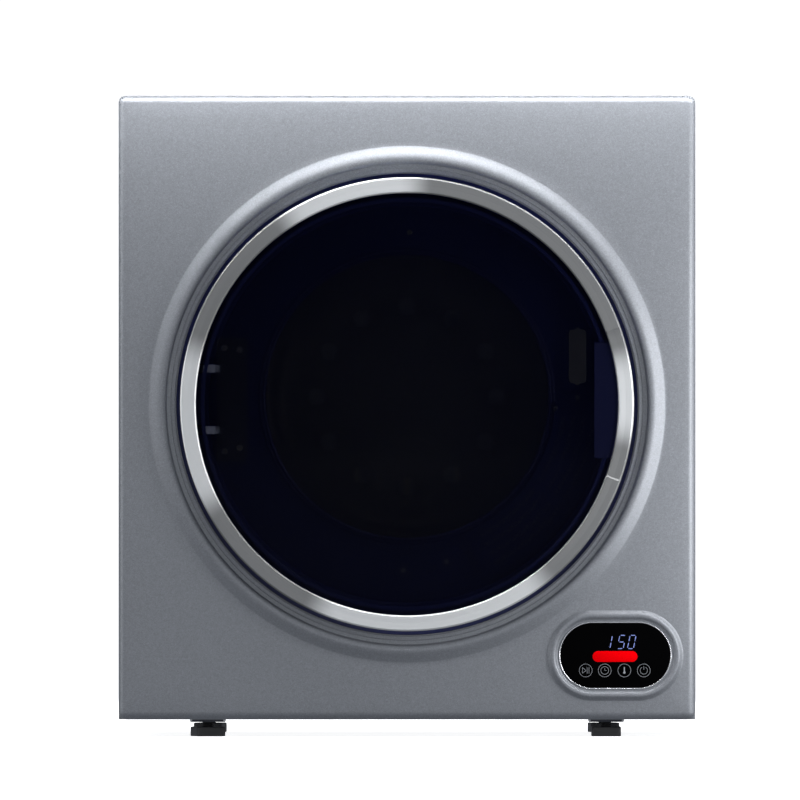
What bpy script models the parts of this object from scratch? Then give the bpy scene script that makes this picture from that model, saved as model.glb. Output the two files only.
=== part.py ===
"""A compact vented clothes dryer: a steel cabinet on screw feet, a round glass door and a belt-driven drum.

Sizes are in millimetres and are scaled to metres as each mesh is made. X runs to the right and Z runs up. The
front faces -Y, and depths are measured backwards from the flat of the front panel.
"""

import math

import bmesh
import bpy
from mathutils import Matrix, Vector

MM = 0.001
GAP = 0.3  # between pieces that touch
RIM_SIDES = 48  # flat faces round the door's rings
DRUM_SIDES = 48  # flat faces round the drum

# Cabinet
WIDTH = 600.0
CABINET_HEIGHT = 649.0
CABINET_DEPTH = 440.0
FOOT_HEIGHT = 18.0
SHEET = 0.8
CORNER_RADIUS = 8.0
EDGE_RADIUS = 6.0
FRONT_FLANGE = 24.0
TOP_FLANGE = 20.0
BASE_SHEET = 1.2
BASE_WALL = 15.0
BULKHEAD_DEPTH = 18.0

# Door
DOOR_RISE = 3.5  # of its centre above the cabinet's middle
RING_SIDE_GAP = 64.0  # from the ring to the cabinet's side
RING_LOW_GAP = 92.0  # from the ring to the cabinet's bottom
RING_WIDTH = 16.5
RING_PROUD = 14.0
GLASS_PROUD = 20.0
GLASS_EDGE_PROUD = 12.0
GLASS_THICKNESS = 3.0
RING_SHEET = 1.6
SKIRT_DEPTH = -4.0
FRAME_WIDTH = 22.8
FRAME_BACK = 12.0
OPENING_GAP = 4.0
BEAD_WIDTH = 17.0
BEAD_HEIGHT = 7.0
STEP_DEPTH = 1.5
GRIP_ANGLE = 20.0
GRIP_DEPTH = 3.2
GRIP_HALF_HEIGHT = 60.0
GRIP_RISE = 4.0
GRIP_LENGTH = 39.0

# Hinge
PIN_INSET = 4.0  # from the bosses' outer faces to the pin
HINGE_PROUD = 7.5
HINGE_RISE = 5.0
KNUCKLE_RADIUS = 4.5
PIN_RADIUS = 2.0
ARM_HEIGHT = 8.0
ARM_SPREAD = 32.0
BOSS_REACH = 48.7  # of the bosses above and below the door's centre
BRACKET_SHARE = 0.61  # of its height to the door frame's inner radius
BRACKET_WIDTH = 32.0

# Latch
CATCH_INSET = 18.5  # from the door frame's inner radius to its right edge
CATCH_SHARE = 0.2385  # of its half width to the space between the mouth and the door frame
CATCH_CORNER = 5.0
SWITCH_HALF_WIDTH = 9.0
SWITCH_HALF_HEIGHT = 4.6
SWITCH_GAP = 1.6

# Drum
DRUM_RISE = 8.0  # of its axis above the door's centre
DRUM_SIDE_GAP = 30.0
DRUM_FRONT = 50.0
DRUM_BACK_GAP = 60.0
DRUM_SHEET = 0.8
MOUTH_SHARE = 0.626  # of its radius to the door ring's
GRILLE_END = -2.5  # degrees from level, about the drum's axis
NECK_GAP = 12.0
LIFTER_HEIGHT = 50.0
LIFTERS = 3
SHAFT_RADIUS = 8.0

# Drive
MOTOR_RADIUS = 50.0
MOTOR_INSET = 85.0  # from the cabinet's side to its axis
MOTOR_Z = FOOT_HEIGHT + 82.0
MOTOR_FRONT = 110.0
MOTOR_BACK = 215.0
MOTOR_SHAFT_RADIUS = 5.0
PULLEY_RADIUS = 9.0
IDLER_RADIUS = 15.0
BELT_DEPTH = 235.0
BELT_WIDTH = 8.0
BELT_THICKNESS = 2.0
BLOWER_RADIUS = 56.0
BLOWER_FRONT = 44.0
BLOWER_BACK = 92.0
INLET_RADIUS = 36.0

# Exhaust
COLLAR_RADIUS = 50.0
COLLAR_LENGTH = 30.0
GLAND_RADIUS = 9.0
DUCT_WALL = 1.5
DUCT_WIDTH = 81.7
DUCT_HEIGHT = 64.0
DUCT_GAP = 83.3  # from the blower's axis to the duct

# Control
LENS_X = WIDTH / 2 - 83.4
LENS_Z = FOOT_HEIGHT + 66.8
LENS_WIDTH = 115.6
LENS_HEIGHT = 68.4
BEZEL_RIM = 13.4

# Feet
FOOT_X = WIDTH / 2 - 92.5
FOOT_DEPTHS = (60.0, CABINET_DEPTH - 50.0)
FOOT_SIDE = 31.0
FOOT_BLOCK = 10.0
STUD_RADIUS = 6.0

# Places that follow from the sizes above
FRONT_Y = GLASS_PROUD - (GLASS_PROUD + CABINET_DEPTH + COLLAR_LENGTH) / 2
BOTTOM = FOOT_HEIGHT
TOP = FOOT_HEIGHT + CABINET_HEIGHT
HALF = WIDTH / 2
DOOR_Z = BOTTOM + CABINET_HEIGHT / 2 + DOOR_RISE
RING_OUTER = min(HALF - RING_SIDE_GAP, DOOR_Z - BOTTOM - RING_LOW_GAP)
RING_INNER = RING_OUTER - RING_WIDTH
OPENING = RING_OUTER + OPENING_GAP
BEAD_INNER = OPENING + 10.0
BEAD_OUTER = BEAD_INNER + BEAD_WIDTH
FRAME_OUTER = RING_OUTER - 2.2
FRAME_INNER = FRAME_OUTER - FRAME_WIDTH
BOWL_FLANGE = FRAME_INNER - GAP
GRIP_Z = DOOR_Z + GRIP_RISE
MOUTH_RADIUS = RING_OUTER * MOUTH_SHARE
GRILLE_INNER = MOUTH_RADIUS + 8.0
GRILLE_WIDTH = FRAME_INNER - MOUTH_RADIUS - 13.0
WINDOW_INNER = GRILLE_INNER + 4.0
WINDOW_WIDTH = GRILLE_WIDTH - 8.0
DRUM_Z = DOOR_Z + DRUM_RISE
DRUM_BACK = CABINET_DEPTH - DRUM_BACK_GAP
DRUM_RADIUS = min(HALF - DRUM_SIDE_GAP, DRUM_Z - BOTTOM - 70.0, TOP - DRUM_Z - 47.0)
NECK_RADIUS = MOUTH_RADIUS + NECK_GAP + 2.0
HINGE_X = PIN_INSET - math.sqrt((RING_OUTER - 2.9) ** 2 - BOSS_REACH**2)
HINGE_DEPTH = -HINGE_PROUD
HINGE_Z = DOOR_Z + HINGE_RISE
BRACKET_LEFT = 13.0 - FRAME_INNER
BRACKET_HEIGHT = FRAME_INNER * BRACKET_SHARE
CATCH_HALF_WIDTH = (FRAME_INNER - MOUTH_RADIUS) * CATCH_SHARE
CATCH_RIGHT = FRAME_INNER - CATCH_INSET
CATCH_X = CATCH_RIGHT - CATCH_HALF_WIDTH
SWITCH_LOW = DRUM_Z + (CATCH_X - SWITCH_HALF_WIDTH) * math.tan(math.radians(GRILLE_END)) + SWITCH_GAP
SWITCH_Z = SWITCH_LOW + SWITCH_HALF_HEIGHT
CATCH_LOW = SWITCH_Z + SWITCH_HALF_HEIGHT + SWITCH_GAP
CATCH_ROUND = math.sqrt((FRAME_INNER - 1.5 - CATCH_CORNER) ** 2 - (CATCH_RIGHT - CATCH_CORNER) ** 2)
CATCH_HALF_HEIGHT = (DOOR_Z + CATCH_ROUND + CATCH_CORNER - CATCH_LOW) / 2
CATCH_Z = CATCH_LOW + CATCH_HALF_HEIGHT
MOTOR_X = HALF - MOTOR_INSET
IDLER_X = MOTOR_X - 50.0
IDLER_Z = MOTOR_Z - 21.0
IDLER_PIVOT_X = MOTOR_X - 15.0
IDLER_PIVOT_Z = MOTOR_Z - 40.0
GLAND_X = -HALF + 70.0
GLAND_Z = BOTTOM + 52.0
DUCT_RIGHT = MOTOR_X - DUCT_GAP
DUCT_LEFT = DUCT_RIGHT - DUCT_WIDTH
COLLAR_X = (DUCT_LEFT + DUCT_RIGHT) / 2 + 8.0
COLLAR_Z = BOTTOM + COLLAR_RADIUS + 8.0


# ---------------------------------------------------------------- outlines and meshes


def lift(outline, axis, height):
    """The outline's points as (x, depth, z), on the plane at this height along the axis."""
    if axis == "X":
        return [(height, a, b) for a, b in outline]
    if axis == "Y":
        return [(a, height, b) for a, b in outline]
    return [(a, b, height) for a, b in outline]


def arc(centre_a, centre_b, radius, start, end, steps):
    """Points on an arc, from one angle to another in degrees."""
    angles = [math.radians(start + (end - start) * i / steps) for i in range(steps + 1)]
    return [(centre_a + radius * math.cos(t), centre_b + radius * math.sin(t)) for t in angles]


def rounded_rect(a0, a1, b0, b1, radius, steps=3):
    """A rectangle's outline with round corners."""
    radius = min(radius, (a1 - a0) / 2, (b1 - b0) / 2)
    corners = (
        (a1 - radius, b0 + radius, -90),
        (a1 - radius, b1 - radius, 0),
        (a0 + radius, b1 - radius, 90),
        (a0 + radius, b0 + radius, 180),
    )
    return [point for a, b, turn in corners for point in arc(a, b, radius, turn, turn + 90, steps)]


def turned_about(outline, centre_a, centre_b, degrees):
    """The outline turned about a point."""
    c, s = math.cos(math.radians(degrees)), math.sin(math.radians(degrees))
    offsets = [(a - centre_a, b - centre_b) for a, b in outline]
    return [(centre_a + a * c - b * s, centre_b + a * s + b * c) for a, b in offsets]


def add_mesh(name, points, faces):
    """A closed mesh object from (x, depth, z) points in millimetres."""
    mesh = bpy.data.meshes.new(name)
    mesh.from_pydata([(x * MM, (FRONT_Y + f) * MM, z * MM) for x, f, z in points], [], faces)
    work = bmesh.new()
    work.from_mesh(mesh)
    bmesh.ops.remove_doubles(work, verts=work.verts, dist=1e-6)
    bmesh.ops.recalc_face_normals(work, faces=work.faces)
    work.to_mesh(mesh)
    work.free()
    obj = bpy.data.objects.new(name, mesh)
    bpy.context.scene.collection.objects.link(obj)
    return obj


def loft(name, sections, ring=False):
    """A skin through sections of equal point counts, with a cap at each end, or joined into a ring."""
    count = len(sections[0])
    points = [point for section in sections for point in section]
    faces = []
    for i in range(len(sections) if ring else len(sections) - 1):
        here = i * count
        there = (i + 1) % len(sections) * count
        for j in range(count):
            k = (j + 1) % count
            faces.append((here + j, here + k, there + k, there + j))
    if not ring:
        faces.append(tuple(range(count)))
        faces.append(tuple(range(len(points) - count, len(points))))
    return add_mesh(name, points, faces)


def prism(name, outline, axis, start, end):
    """The outline pushed along an axis."""
    return loft(name, [lift(outline, axis, start), lift(outline, axis, end)])


def box(name, x, f, z):
    """A box from three (low, high) pairs."""
    outline = [(x[0], z[0]), (x[1], z[0]), (x[1], z[1]), (x[0], z[1])]
    return prism(name, outline, "Y", f[0], f[1])


def turned(name, profile, centre, segments):
    """A closed (radius, depth) profile turned about an axis through the centre, from front to back."""
    sections = []
    for i in range(segments):
        angle = 2 * math.pi * i / segments
        c, s = math.cos(angle), math.sin(angle)
        sections.append([(centre[0] + r * c, f, centre[1] + r * s) for r, f in profile])
    return loft(name, sections, ring=True)


def cylinder(name, centre, radius, start, end, axis="Y", segments=24):
    return prism(name, arc(*centre, radius, 0, 360 - 360 / segments, segments - 1), axis, start, end)


def tray(name, spans, axis, floor, rim, wall, corner, edge=0.0):
    """An open box of thin wall: its floor has a rounded edge, and its corners are rounded in plan."""
    a0, a1, b0, b1 = spans
    up = 1 if rim > floor else -1

    def skin(inset, radius):
        turns = [0, 30, 60, 90] if radius > 0 else [90]
        centre = inset + radius
        levels = []
        for turn in turns:
            t = math.radians(turn)
            levels.append((centre - radius * math.sin(t), floor + up * (centre - radius * math.cos(t))))
        return levels + [(inset, rim)]

    outer = skin(0.0, edge)
    inner = skin(wall, max(edge - wall, 0.0))
    levels = inner + outer[::-1]
    sections = []
    for i, height in levels:
        outline = rounded_rect(a0 + i, a1 - i, b0 + i, b1 - i, max(corner - i, 0.8))
        sections.append(lift(outline, axis, height))
    return loft(name, sections)


def boolean(target, others, operation):
    for other in others:
        modifier = target.modifiers.new(other.name, "BOOLEAN")
        modifier.operation = operation
        modifier.object = other
        modifier.solver = "EXACT"
        other.hide_render = True
        other.display_type = "WIRE"
    return target


def cut(target, *cutters):
    """Takes each cutter out of the target."""
    return boolean(target, cutters, "DIFFERENCE")


def join(target, *others):
    """Makes one body of the target and the others."""
    return boolean(target, others, "UNION")


def finish(obj, material, parent=None):
    """Gives a piece its material and its shading, and hangs it and its cutters on its joint's axis."""
    obj.data.materials.append(material)
    obj.data.shade_smooth()
    obj.data.set_sharp_from_angle(angle=math.radians(30))
    if parent:
        for piece in [obj, *(modifier.object for modifier in obj.modifiers)]:
            piece.data.transform(Matrix.Translation(-parent.location))
            piece.parent = parent
    return obj


def axis_at(name, x, f, z):
    """An empty on a joint's axis."""
    empty = bpy.data.objects.new(name, None)
    empty.location = Vector((x, FRONT_Y + f, z)) * MM
    bpy.context.scene.collection.objects.link(empty)
    return empty


def paint(name, colour, roughness, metallic=0.0):
    material = bpy.data.materials.new(name)
    material.use_nodes = True
    shader = material.node_tree.nodes["Principled BSDF"]
    shader.inputs["Base Color"].default_value = (*colour, 1.0)
    shader.inputs["Roughness"].default_value = roughness
    shader.inputs["Metallic"].default_value = metallic
    return material


# ---------------------------------------------------------------- cabinet


def front_panel(material):
    """A pressed tray with the door's opening: a raised bead, three fine steps and a lip back to the seal."""
    spans = (-HALF, HALF, BOTTOM, TOP)
    panel = tray("front_panel", spans, "Y", 0.0, FRONT_FLANGE, SHEET, CORNER_RADIUS, EDGE_RADIUS)
    cut(panel, cylinder("opening_cutter", (0, DOOR_Z), BEAD_OUTER - 2.0, -5, 5, segments=RIM_SIDES))
    front = [(BEAD_OUTER - BEAD_WIDTH * i / 6, -BEAD_HEIGHT * math.sin(math.pi * i / 6)) for i in range(7)]
    front[0] = (BEAD_OUTER, 0.3)
    first, second, third = STEP_DEPTH, 2 * STEP_DEPTH, 3 * STEP_DEPTH
    lip = BULKHEAD_DEPTH - GAP
    steps = [
        (BEAD_INNER, first),
        (BEAD_INNER - 4.4, first),
        (BEAD_INNER - 4.4, second),
        (OPENING + 1.4, second),
        (OPENING + 1.4, third),
        (OPENING, third),
        (OPENING, lip),
        (OPENING + 1.2, lip),
        (OPENING + 1.2, third + 1.2),
        (BEAD_INNER + 1.2, first + 1.2),
    ]
    middle = (BEAD_INNER + BEAD_OUTER) / 2
    back = [(middle - 4, 1.3 - BEAD_HEIGHT), (middle + 4, 1.3 - BEAD_HEIGHT), (BEAD_OUTER - 1, 0.6)]
    bead = turned("bead_union", front + steps + back, (0, DOOR_Z), segments=RIM_SIDES)
    join(panel, bead)
    hole = stadium(6.0)
    cut(panel, prism("control_cutter", hole, "Y", -5, 5))
    return finish(panel, material)


def side_panel(name, side, material):
    """A sheet with a flange turned inwards at its front and back edges."""
    f0 = FRONT_FLANGE + GAP
    f1 = CABINET_DEPTH - SHEET - GAP
    flange = HALF - 14.0
    inside = HALF - SHEET
    outline = [
        (HALF, f0),
        (HALF, f1),
        (flange, f1),
        (flange, f1 - SHEET),
        (inside, f1 - SHEET),
        (inside, f0 + SHEET),
        (flange, f0 + SHEET),
        (flange, f0),
    ]
    outline = [(side * x, f) for x, f in outline]
    return finish(prism(name, outline, "Z", BOTTOM, TOP - TOP_FLANGE - GAP), material)


def top_panel(material):
    spans = (-HALF, HALF, FRONT_FLANGE + GAP, CABINET_DEPTH - SHEET - GAP)
    return finish(tray("top_panel", spans, "Z", TOP, TOP - TOP_FLANGE, SHEET, 1.0, EDGE_RADIUS), material)


def rear_panel(material):
    """A flat sheet with rows of air slots, a hole for the exhaust collar and one for the cord gland."""
    back = CABINET_DEPTH
    outline = rounded_rect(-HALF, HALF, BOTTOM, TOP, CORNER_RADIUS)
    panel = prism("rear_panel", outline, "Y", back - SHEET, back)
    f0, f1 = back - 5, back + 5
    cut(panel, cylinder("collar_hole", (COLLAR_X, COLLAR_Z), COLLAR_RADIUS + GAP, f0, f1, segments=36))
    cut(panel, cylinder("gland_hole", (GLAND_X, GLAND_Z), GLAND_RADIUS + GAP, f0, f1))
    slots = []
    for column in (-75, 75):
        for row in range(5):
            z = DRUM_Z - 48 + 24 * row
            slots.append(box("air_slot", (column - 45, column + 45), (f0, f1), (z - 4, z + 4)))
    return finish(cut(panel, *slots), material)


def base_pan(material):
    """A shallow tray that carries the motor and the ducts, with a pad and a nut at each foot's hole."""
    spans = (-HALF + SHEET + GAP, HALF - SHEET - GAP, FRONT_FLANGE + 1.3, CABINET_DEPTH - 2 * SHEET - 2 * GAP)
    pan = tray("base_pan", spans, "Z", BOTTOM, BOTTOM + BASE_WALL, BASE_SHEET, 4.0)
    for x in (-FOOT_X, FOOT_X):
        for f in FOOT_DEPTHS:
            join(pan, box("foot_pad", (x - 18, x + 18), (f - 18, f + 18), (BOTTOM - 2.5, BOTTOM + 0.6)))
            join(pan, cylinder("foot_nut", (x, f), 10.0, BOTTOM + 0.5, BOTTOM + 14.0, "Z", 12))
            cut(pan, cylinder("stud_hole", (x, f), STUD_RADIUS + GAP, BOTTOM - 9, BOTTOM + 20, "Z", 12))
    x0, x1 = COLLAR_X - COLLAR_RADIUS - 2, COLLAR_X + COLLAR_RADIUS + 2
    back = CABINET_DEPTH
    cut(pan, box("duct_notch", (x0, x1), (back - 9, back + 9), (BOTTOM + 4, BOTTOM + 20)))
    return finish(pan, material)


def foot(name, x, f, turn, material):
    """A square block on a threaded stud that screws into the base pan. Its origin is on the stud."""
    axis = axis_at(f"{name}_axis", x, f, FOOT_BLOCK)
    half = FOOT_SIDE / 2
    levels = ((0.0, half - 1), (1.0, half), (FOOT_BLOCK - 1, half), (FOOT_BLOCK, half - 1))
    sections = []
    for z, reach in levels:
        outline = turned_about(rounded_rect(x - reach, x + reach, f - reach, f + reach, 2.5), x, f, turn)
        sections.append(lift(outline, "Z", z))
    r = STUD_RADIUS
    for z in (FOOT_BLOCK, FOOT_HEIGHT + 15.0):
        outline = rounded_rect(x - r, x + r, f - r, f + r, r)
        sections.append(lift(turned_about(outline, x, f, turn), "Z", z))
    return finish(loft(name, sections), material, axis)


def sector(inner, outer, start, end, steps=10):
    """The outline of part of a ring about the drum's axis."""
    return arc(0, DRUM_Z, outer, start, end, steps) + arc(0, DRUM_Z, inner, end, start, steps)


def front_bulkhead(material):
    """The inner front wall: it has the drum's mouth with its collar, and the window to the air duct."""
    f = BULKHEAD_DEPTH
    inset = SHEET + 0.5
    outline = rounded_rect(-HALF + inset, HALF - inset, BOTTOM + inset, TOP - inset, CORNER_RADIUS)
    wall = prism("front_bulkhead", outline, "Y", f, f + SHEET)
    cut(wall, cylinder("mouth_cutter", (0, DRUM_Z), MOUTH_RADIUS + 2.5, f - 5, f + 5, segments=DRUM_SIDES))
    window = sector(WINDOW_INNER, WINDOW_INNER + WINDOW_WIDTH, -63, -5)
    cut(wall, prism("window_cutter", window, "Y", f - 5, f + 5))
    r = MOUTH_RADIUS
    near, far, end = f + 0.2, f + 0.6, DRUM_FRONT + 2
    collar = [(r, near), (r, end), (r + 1, end), (r + 1, far), (r + 5, far), (r + 5, near)]
    join(wall, turned("collar_union", collar, (0, DRUM_Z), segments=DRUM_SIDES))
    return finish(wall, material)


def drum_felt_ring(material):
    inner = MOUTH_RADIUS + 1 + 2 * GAP
    outer = NECK_RADIUS - DRUM_SHEET - 3 * GAP
    near, far = DRUM_FRONT - 6, DRUM_FRONT + 1
    profile = [(inner, near), (inner, far), (outer, far), (outer, near)]
    return finish(turned("drum_felt_ring", profile, (0, DRUM_Z), segments=48), material)


def door_seal(material):
    """A rubber ring on the bulkhead with a raised lip that the door's frame presses."""
    f = BULKHEAD_DEPTH - GAP
    r = FRAME_INNER + 1.0
    profile = [(r, f), (r + 10, f), (r + 7, f - 5), (r + 3, f - 5)]
    return finish(turned("door_seal", profile, (0, DOOR_Z), segments=48), material)


def filter_cover(material):
    """The grille over the lint filter, beside the drum's mouth."""
    plan = sector(GRILLE_INNER, GRILLE_INNER + GRILLE_WIDTH, -66, GRILLE_END)
    cover = prism("filter_cover", plan, "Y", BULKHEAD_DEPTH - 3.5, BULKHEAD_DEPTH - GAP)
    slots = []
    rows = 4
    pitch = WINDOW_WIDTH / rows
    for row in range(rows):
        inner = GRILLE_INNER + 6 + pitch * row
        for start in (-62, -33):
            outline = sector(inner, inner + 0.41 * pitch, start, start + 26, 5)
            slots.append(prism("grille_slot", outline, "Y", BULKHEAD_DEPTH - 6, BULKHEAD_DEPTH + 2))
    return finish(cut(cover, *slots), material)


def lint_screen(material):
    """The filter's framed screen, which sits in the bulkhead's window."""
    r = WINDOW_INNER + GAP
    f = BULKHEAD_DEPTH
    screen = prism("lint_screen", sector(r, r + WINDOW_WIDTH - 2 * GAP, -62.8, -5.2), "Y", f, f + SHEET)
    slots = []
    rows = 3
    pitch = (WINDOW_WIDTH - 6.5) / rows
    for row in range(rows):
        inner = r + 4 + pitch * row
        outline = sector(inner, inner + 0.8 * pitch, -61, -7, 6)
        slots.append(prism("screen_slot", outline, "Y", f - 5, f + 5))
    return finish(cut(screen, *slots), material)


def outlet_duct(material):
    """A flat duct that leads the air from the filter's window down to the blower's inlet."""

    def outline(inset):
        inner = GRILLE_INNER + inset
        outer = GRILLE_INNER + GRILLE_WIDTH + 2 - inset
        sweep = arc(0, DRUM_Z, inner, -66, -2, 12)
        corner = [(outer, DRUM_Z - 8), (HALF - 40 - inset, DRUM_Z - 60)]
        bottom = arc(MOTOR_X, MOTOR_Z, 52 - inset, 10, -150, 12)
        heel = arc(0, DRUM_Z, outer, -66, -66.5, 1)
        return sweep + corner + bottom + heel

    f = BULKHEAD_DEPTH + SHEET + GAP
    back = BLOWER_FRONT - GAP
    duct = prism("outlet_duct", outline(0.0), "Y", f, back)
    cut(duct, prism("duct_inside", outline(DUCT_WALL), "Y", f + DUCT_WALL, back - DUCT_WALL))
    window = sector(WINDOW_INNER, WINDOW_INNER + WINDOW_WIDTH, -62, -6)
    cut(duct, prism("duct_window", window, "Y", f - 5, f + 5))
    cut(duct, cylinder("duct_outlet", (MOTOR_X, MOTOR_Z), INLET_RADIUS, back - 5, back + 5, segments=32))
    return finish(duct, material)


def blower_housing(material):
    """A round casing with an inlet at its front, a shaft hole at its back and an outlet low on its left."""

    def outline(inset, left):
        r = BLOWER_RADIUS - inset
        low = MOTOR_Z - r
        high = MOTOR_Z - BLOWER_RADIUS / 2 - inset
        return [(left, low), *arc(MOTOR_X, MOTOR_Z, r, -90, 205, 32), (left, high)]

    left = DUCT_RIGHT + GAP
    housing = prism("blower_housing", outline(0.0, left), "Y", BLOWER_FRONT, BLOWER_BACK)
    inside = outline(DUCT_WALL, left - 5)
    cut(housing, prism("blower_inside", inside, "Y", BLOWER_FRONT + DUCT_WALL, BLOWER_BACK - DUCT_WALL))
    centre = (MOTOR_X, MOTOR_Z)
    front = BLOWER_FRONT
    cut(housing, cylinder("blower_inlet", centre, INLET_RADIUS, front - 5, front + 5, segments=32))
    cut(housing, cylinder("shaft_hole", centre, MOTOR_SHAFT_RADIUS + 1, BLOWER_BACK - 5, BLOWER_BACK + 5))
    return finish(housing, material)


def exhaust_duct(material):
    """A duct along the base that changes from a flat section to a round one at the rear."""
    low = BOTTOM + 4.0
    high = low + DUCT_HEIGHT
    end = CABINET_DEPTH - SHEET - GAP

    def flat(inset):
        return rounded_rect(DUCT_LEFT + inset, DUCT_RIGHT - inset, low + inset, high - inset, 6 - inset, 5)

    def round_end(inset):
        r = COLLAR_RADIUS - 2 * GAP - inset
        return rounded_rect(COLLAR_X - r, COLLAR_X + r, COLLAR_Z - r, COLLAR_Z + r, r, 5)

    w = DUCT_WALL
    levels = (
        (flat(w), BLOWER_FRONT + w),
        (flat(w), DRUM_BACK + 5),
        (round_end(w), end - 12),
        (round_end(w), end),
        (round_end(0.0), end),
        (round_end(0.0), end - 12),
        (flat(0.0), DRUM_BACK + 5),
        (flat(0.0), BLOWER_FRONT),
    )
    duct = loft("exhaust_duct", [lift(outline, "Y", f) for outline, f in levels])
    z = (MOTOR_Z - BLOWER_RADIUS + w, MOTOR_Z - BLOWER_RADIUS / 2 - w)
    cut(duct, box("duct_inlet", (DUCT_RIGHT - 5, DUCT_RIGHT + 5), (BLOWER_FRONT + w, BLOWER_BACK - w), z))
    return finish(duct, material)


def exhaust_collar(material):
    """The round spigot behind the rear panel, with a flange against the panel."""
    back = CABINET_DEPTH
    r = COLLAR_RADIUS
    profile = [
        (r, back + 2),
        (r, back + COLLAR_LENGTH),
        (r - 1.5, back + COLLAR_LENGTH),
        (r - 1.5, back + GAP),
        (r + 6, back + GAP),
        (r + 6, back + 2),
    ]
    return finish(turned("exhaust_collar", profile, (COLLAR_X, COLLAR_Z), segments=32), material)


def cord_gland(material):
    back = CABINET_DEPTH
    profile = [
        (4.5, back - 8),
        (GLAND_RADIUS, back - 8),
        (GLAND_RADIUS, back + GAP),
        (12.0, back + GAP),
        (11.0, back + 4),
        (7.0, back + 12),
        (4.5, back + 12),
    ]
    return finish(turned("cord_gland", profile, (GLAND_X, GLAND_Z), segments=24), material)


# ---------------------------------------------------------------- door


def door_ring(material, axis):
    """The silver trim ring. Between two radial creases on the right it dips into a shallow hollow."""
    angles = [360 * i / RIM_SIDES for i in range(RIM_SIDES)]
    creases = (GRIP_ANGLE, 360 - GRIP_ANGLE)
    angles = [a for a in angles if min(abs(a - c) for c in creases) > 1]
    angles = sorted(angles + [c + d for c in creases for d in (-0.5, 0.5)])
    sections = []
    for angle in angles:
        off = (angle + 180) % 360 - 180
        inside = abs(off) < GRIP_ANGLE
        dip = GRIP_DEPTH * (1 - 0.35 * (off / GRIP_ANGLE) ** 2) if inside else 0.0
        skirt = SKIRT_DEPTH - 4.0 if inside else SKIRT_DEPTH
        front = -RING_PROUD
        profile = [
            (RING_OUTER, skirt),
            (RING_OUTER, front + 1.4),
            (RING_OUTER - 1.4, front),
            (RING_OUTER - 5, front + dip),
            (RING_INNER + 5, front + dip),
            (RING_INNER + 1.2, front),
            (RING_INNER, front + 1.2),
            (RING_INNER, front + 2.8),
            (RING_INNER + 5, front + RING_SHEET + dip),
            (RING_OUTER - 5, front + RING_SHEET + dip),
            (RING_OUTER - 1.6, front + 2.8),
            (RING_OUTER - 1.6, skirt),
        ]
        c, s = math.cos(math.radians(angle)), math.sin(math.radians(angle))
        sections.append([(r * c, f, DOOR_Z + r * s) for r, f in profile])
    return finish(loft("door_ring", sections, ring=True), material, axis)


def door_glass(material, axis):
    """A shallow dome of dark glass inside the ring."""
    radius = RING_INNER - 2 * GAP

    def front(r):
        return -GLASS_EDGE_PROUD - (GLASS_PROUD - GLASS_EDGE_PROUD) * (1 - (r / radius) ** 2)

    radii = [radius * math.sin(math.pi / 2 * i / 4) for i in range(5)]
    profile = [(r, front(r)) for r in radii] + [(r, front(r) + GLASS_THICKNESS) for r in reversed(radii)]
    return finish(turned("door_glass", profile, (0, DOOR_Z), segments=RIM_SIDES), material, axis)


def grip_outline(inset, outer):
    """The grip cup's outline: straight on its left, and round on its right where it meets the door's edge."""
    low = GRIP_Z - GRIP_HALF_HEIGHT + inset - DOOR_Z
    high = GRIP_Z + GRIP_HALF_HEIGHT - inset - DOOR_Z
    left = FRAME_OUTER - GRIP_LENGTH + inset
    start, end = math.degrees(math.asin(low / outer)), math.degrees(math.asin(high / outer))
    return [(left, DOOR_Z + low), *arc(0, DOOR_Z, outer, start, end, 10), (left, DOOR_Z + high)]


def door_frame(material, axis):
    """The plastic channel behind the trim, with slots for the hinge arms and the grip cup."""
    o, i = FRAME_OUTER, FRAME_INNER
    back = FRAME_BACK
    ledge = -GLASS_EDGE_PROUD + GLASS_THICKNESS + 0.5
    profile = [
        (i, back),
        (o - 6, back),
        (o, back - 6),
        (o, -6),
        (o - 2.5, -6),
        (o - 2.5, back - 7),
        (o - 7, back - 2.5),
        (i + 4, back - 2.5),
        (i + 4, ledge),
        (i, ledge),
    ]
    frame = turned("door_frame", profile, (0, DOOR_Z), segments=RIM_SIDES)
    for side in (-1, 1):
        z = HINGE_Z + side * (ARM_SPREAD + ARM_HEIGHT / 2 + 4.5)
        boss = box("pin_boss", (HINGE_X - PIN_INSET, HINGE_X + 5), (HINGE_DEPTH - 3.4, back - 1), (z - 3.2, z + 3.2))
        join(frame, boss)
    half = ARM_HEIGHT / 2 + 1
    for side in (-1, 1):
        z = HINGE_Z + side * ARM_SPREAD
        cut(frame, box("arm_slot", (HINGE_X - 14, HINGE_X + 9), (-13, back + 1), (z - half, z + half)))
        cut(frame, box("arm_gate", (HINGE_X + 8, BRACKET_LEFT - 4), (-3.5, back + 1), (z - half, z + half)))
    reach = ARM_SPREAD + ARM_HEIGHT / 2 + 9
    bore = PIN_RADIUS + GAP
    cut(frame, cylinder("pin_bore", (HINGE_X, HINGE_DEPTH), bore, HINGE_Z - reach, HINGE_Z + reach, "Z", 16))
    notch = grip_outline(-0.6, RING_OUTER + 5)
    cut(frame, prism("grip_notch", notch, "Y", -12, back - 2.2))
    return finish(frame, material, axis)


def handle_cup(material, axis):
    """A pocket behind the ring's right side, open outwards, that the fingers pull on."""
    front = -RING_PROUD + GRIP_DEPTH + RING_SHEET + 0.9
    back = FRAME_BACK - 2.8
    cup = prism("handle_cup", grip_outline(0.0, FRAME_OUTER - 0.3), "Y", front, back)
    cut(cup, prism("finger_pocket", grip_outline(2.2, RING_OUTER + 5), "Y", front + 2, back - 2))
    return finish(cup, material, axis)


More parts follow.
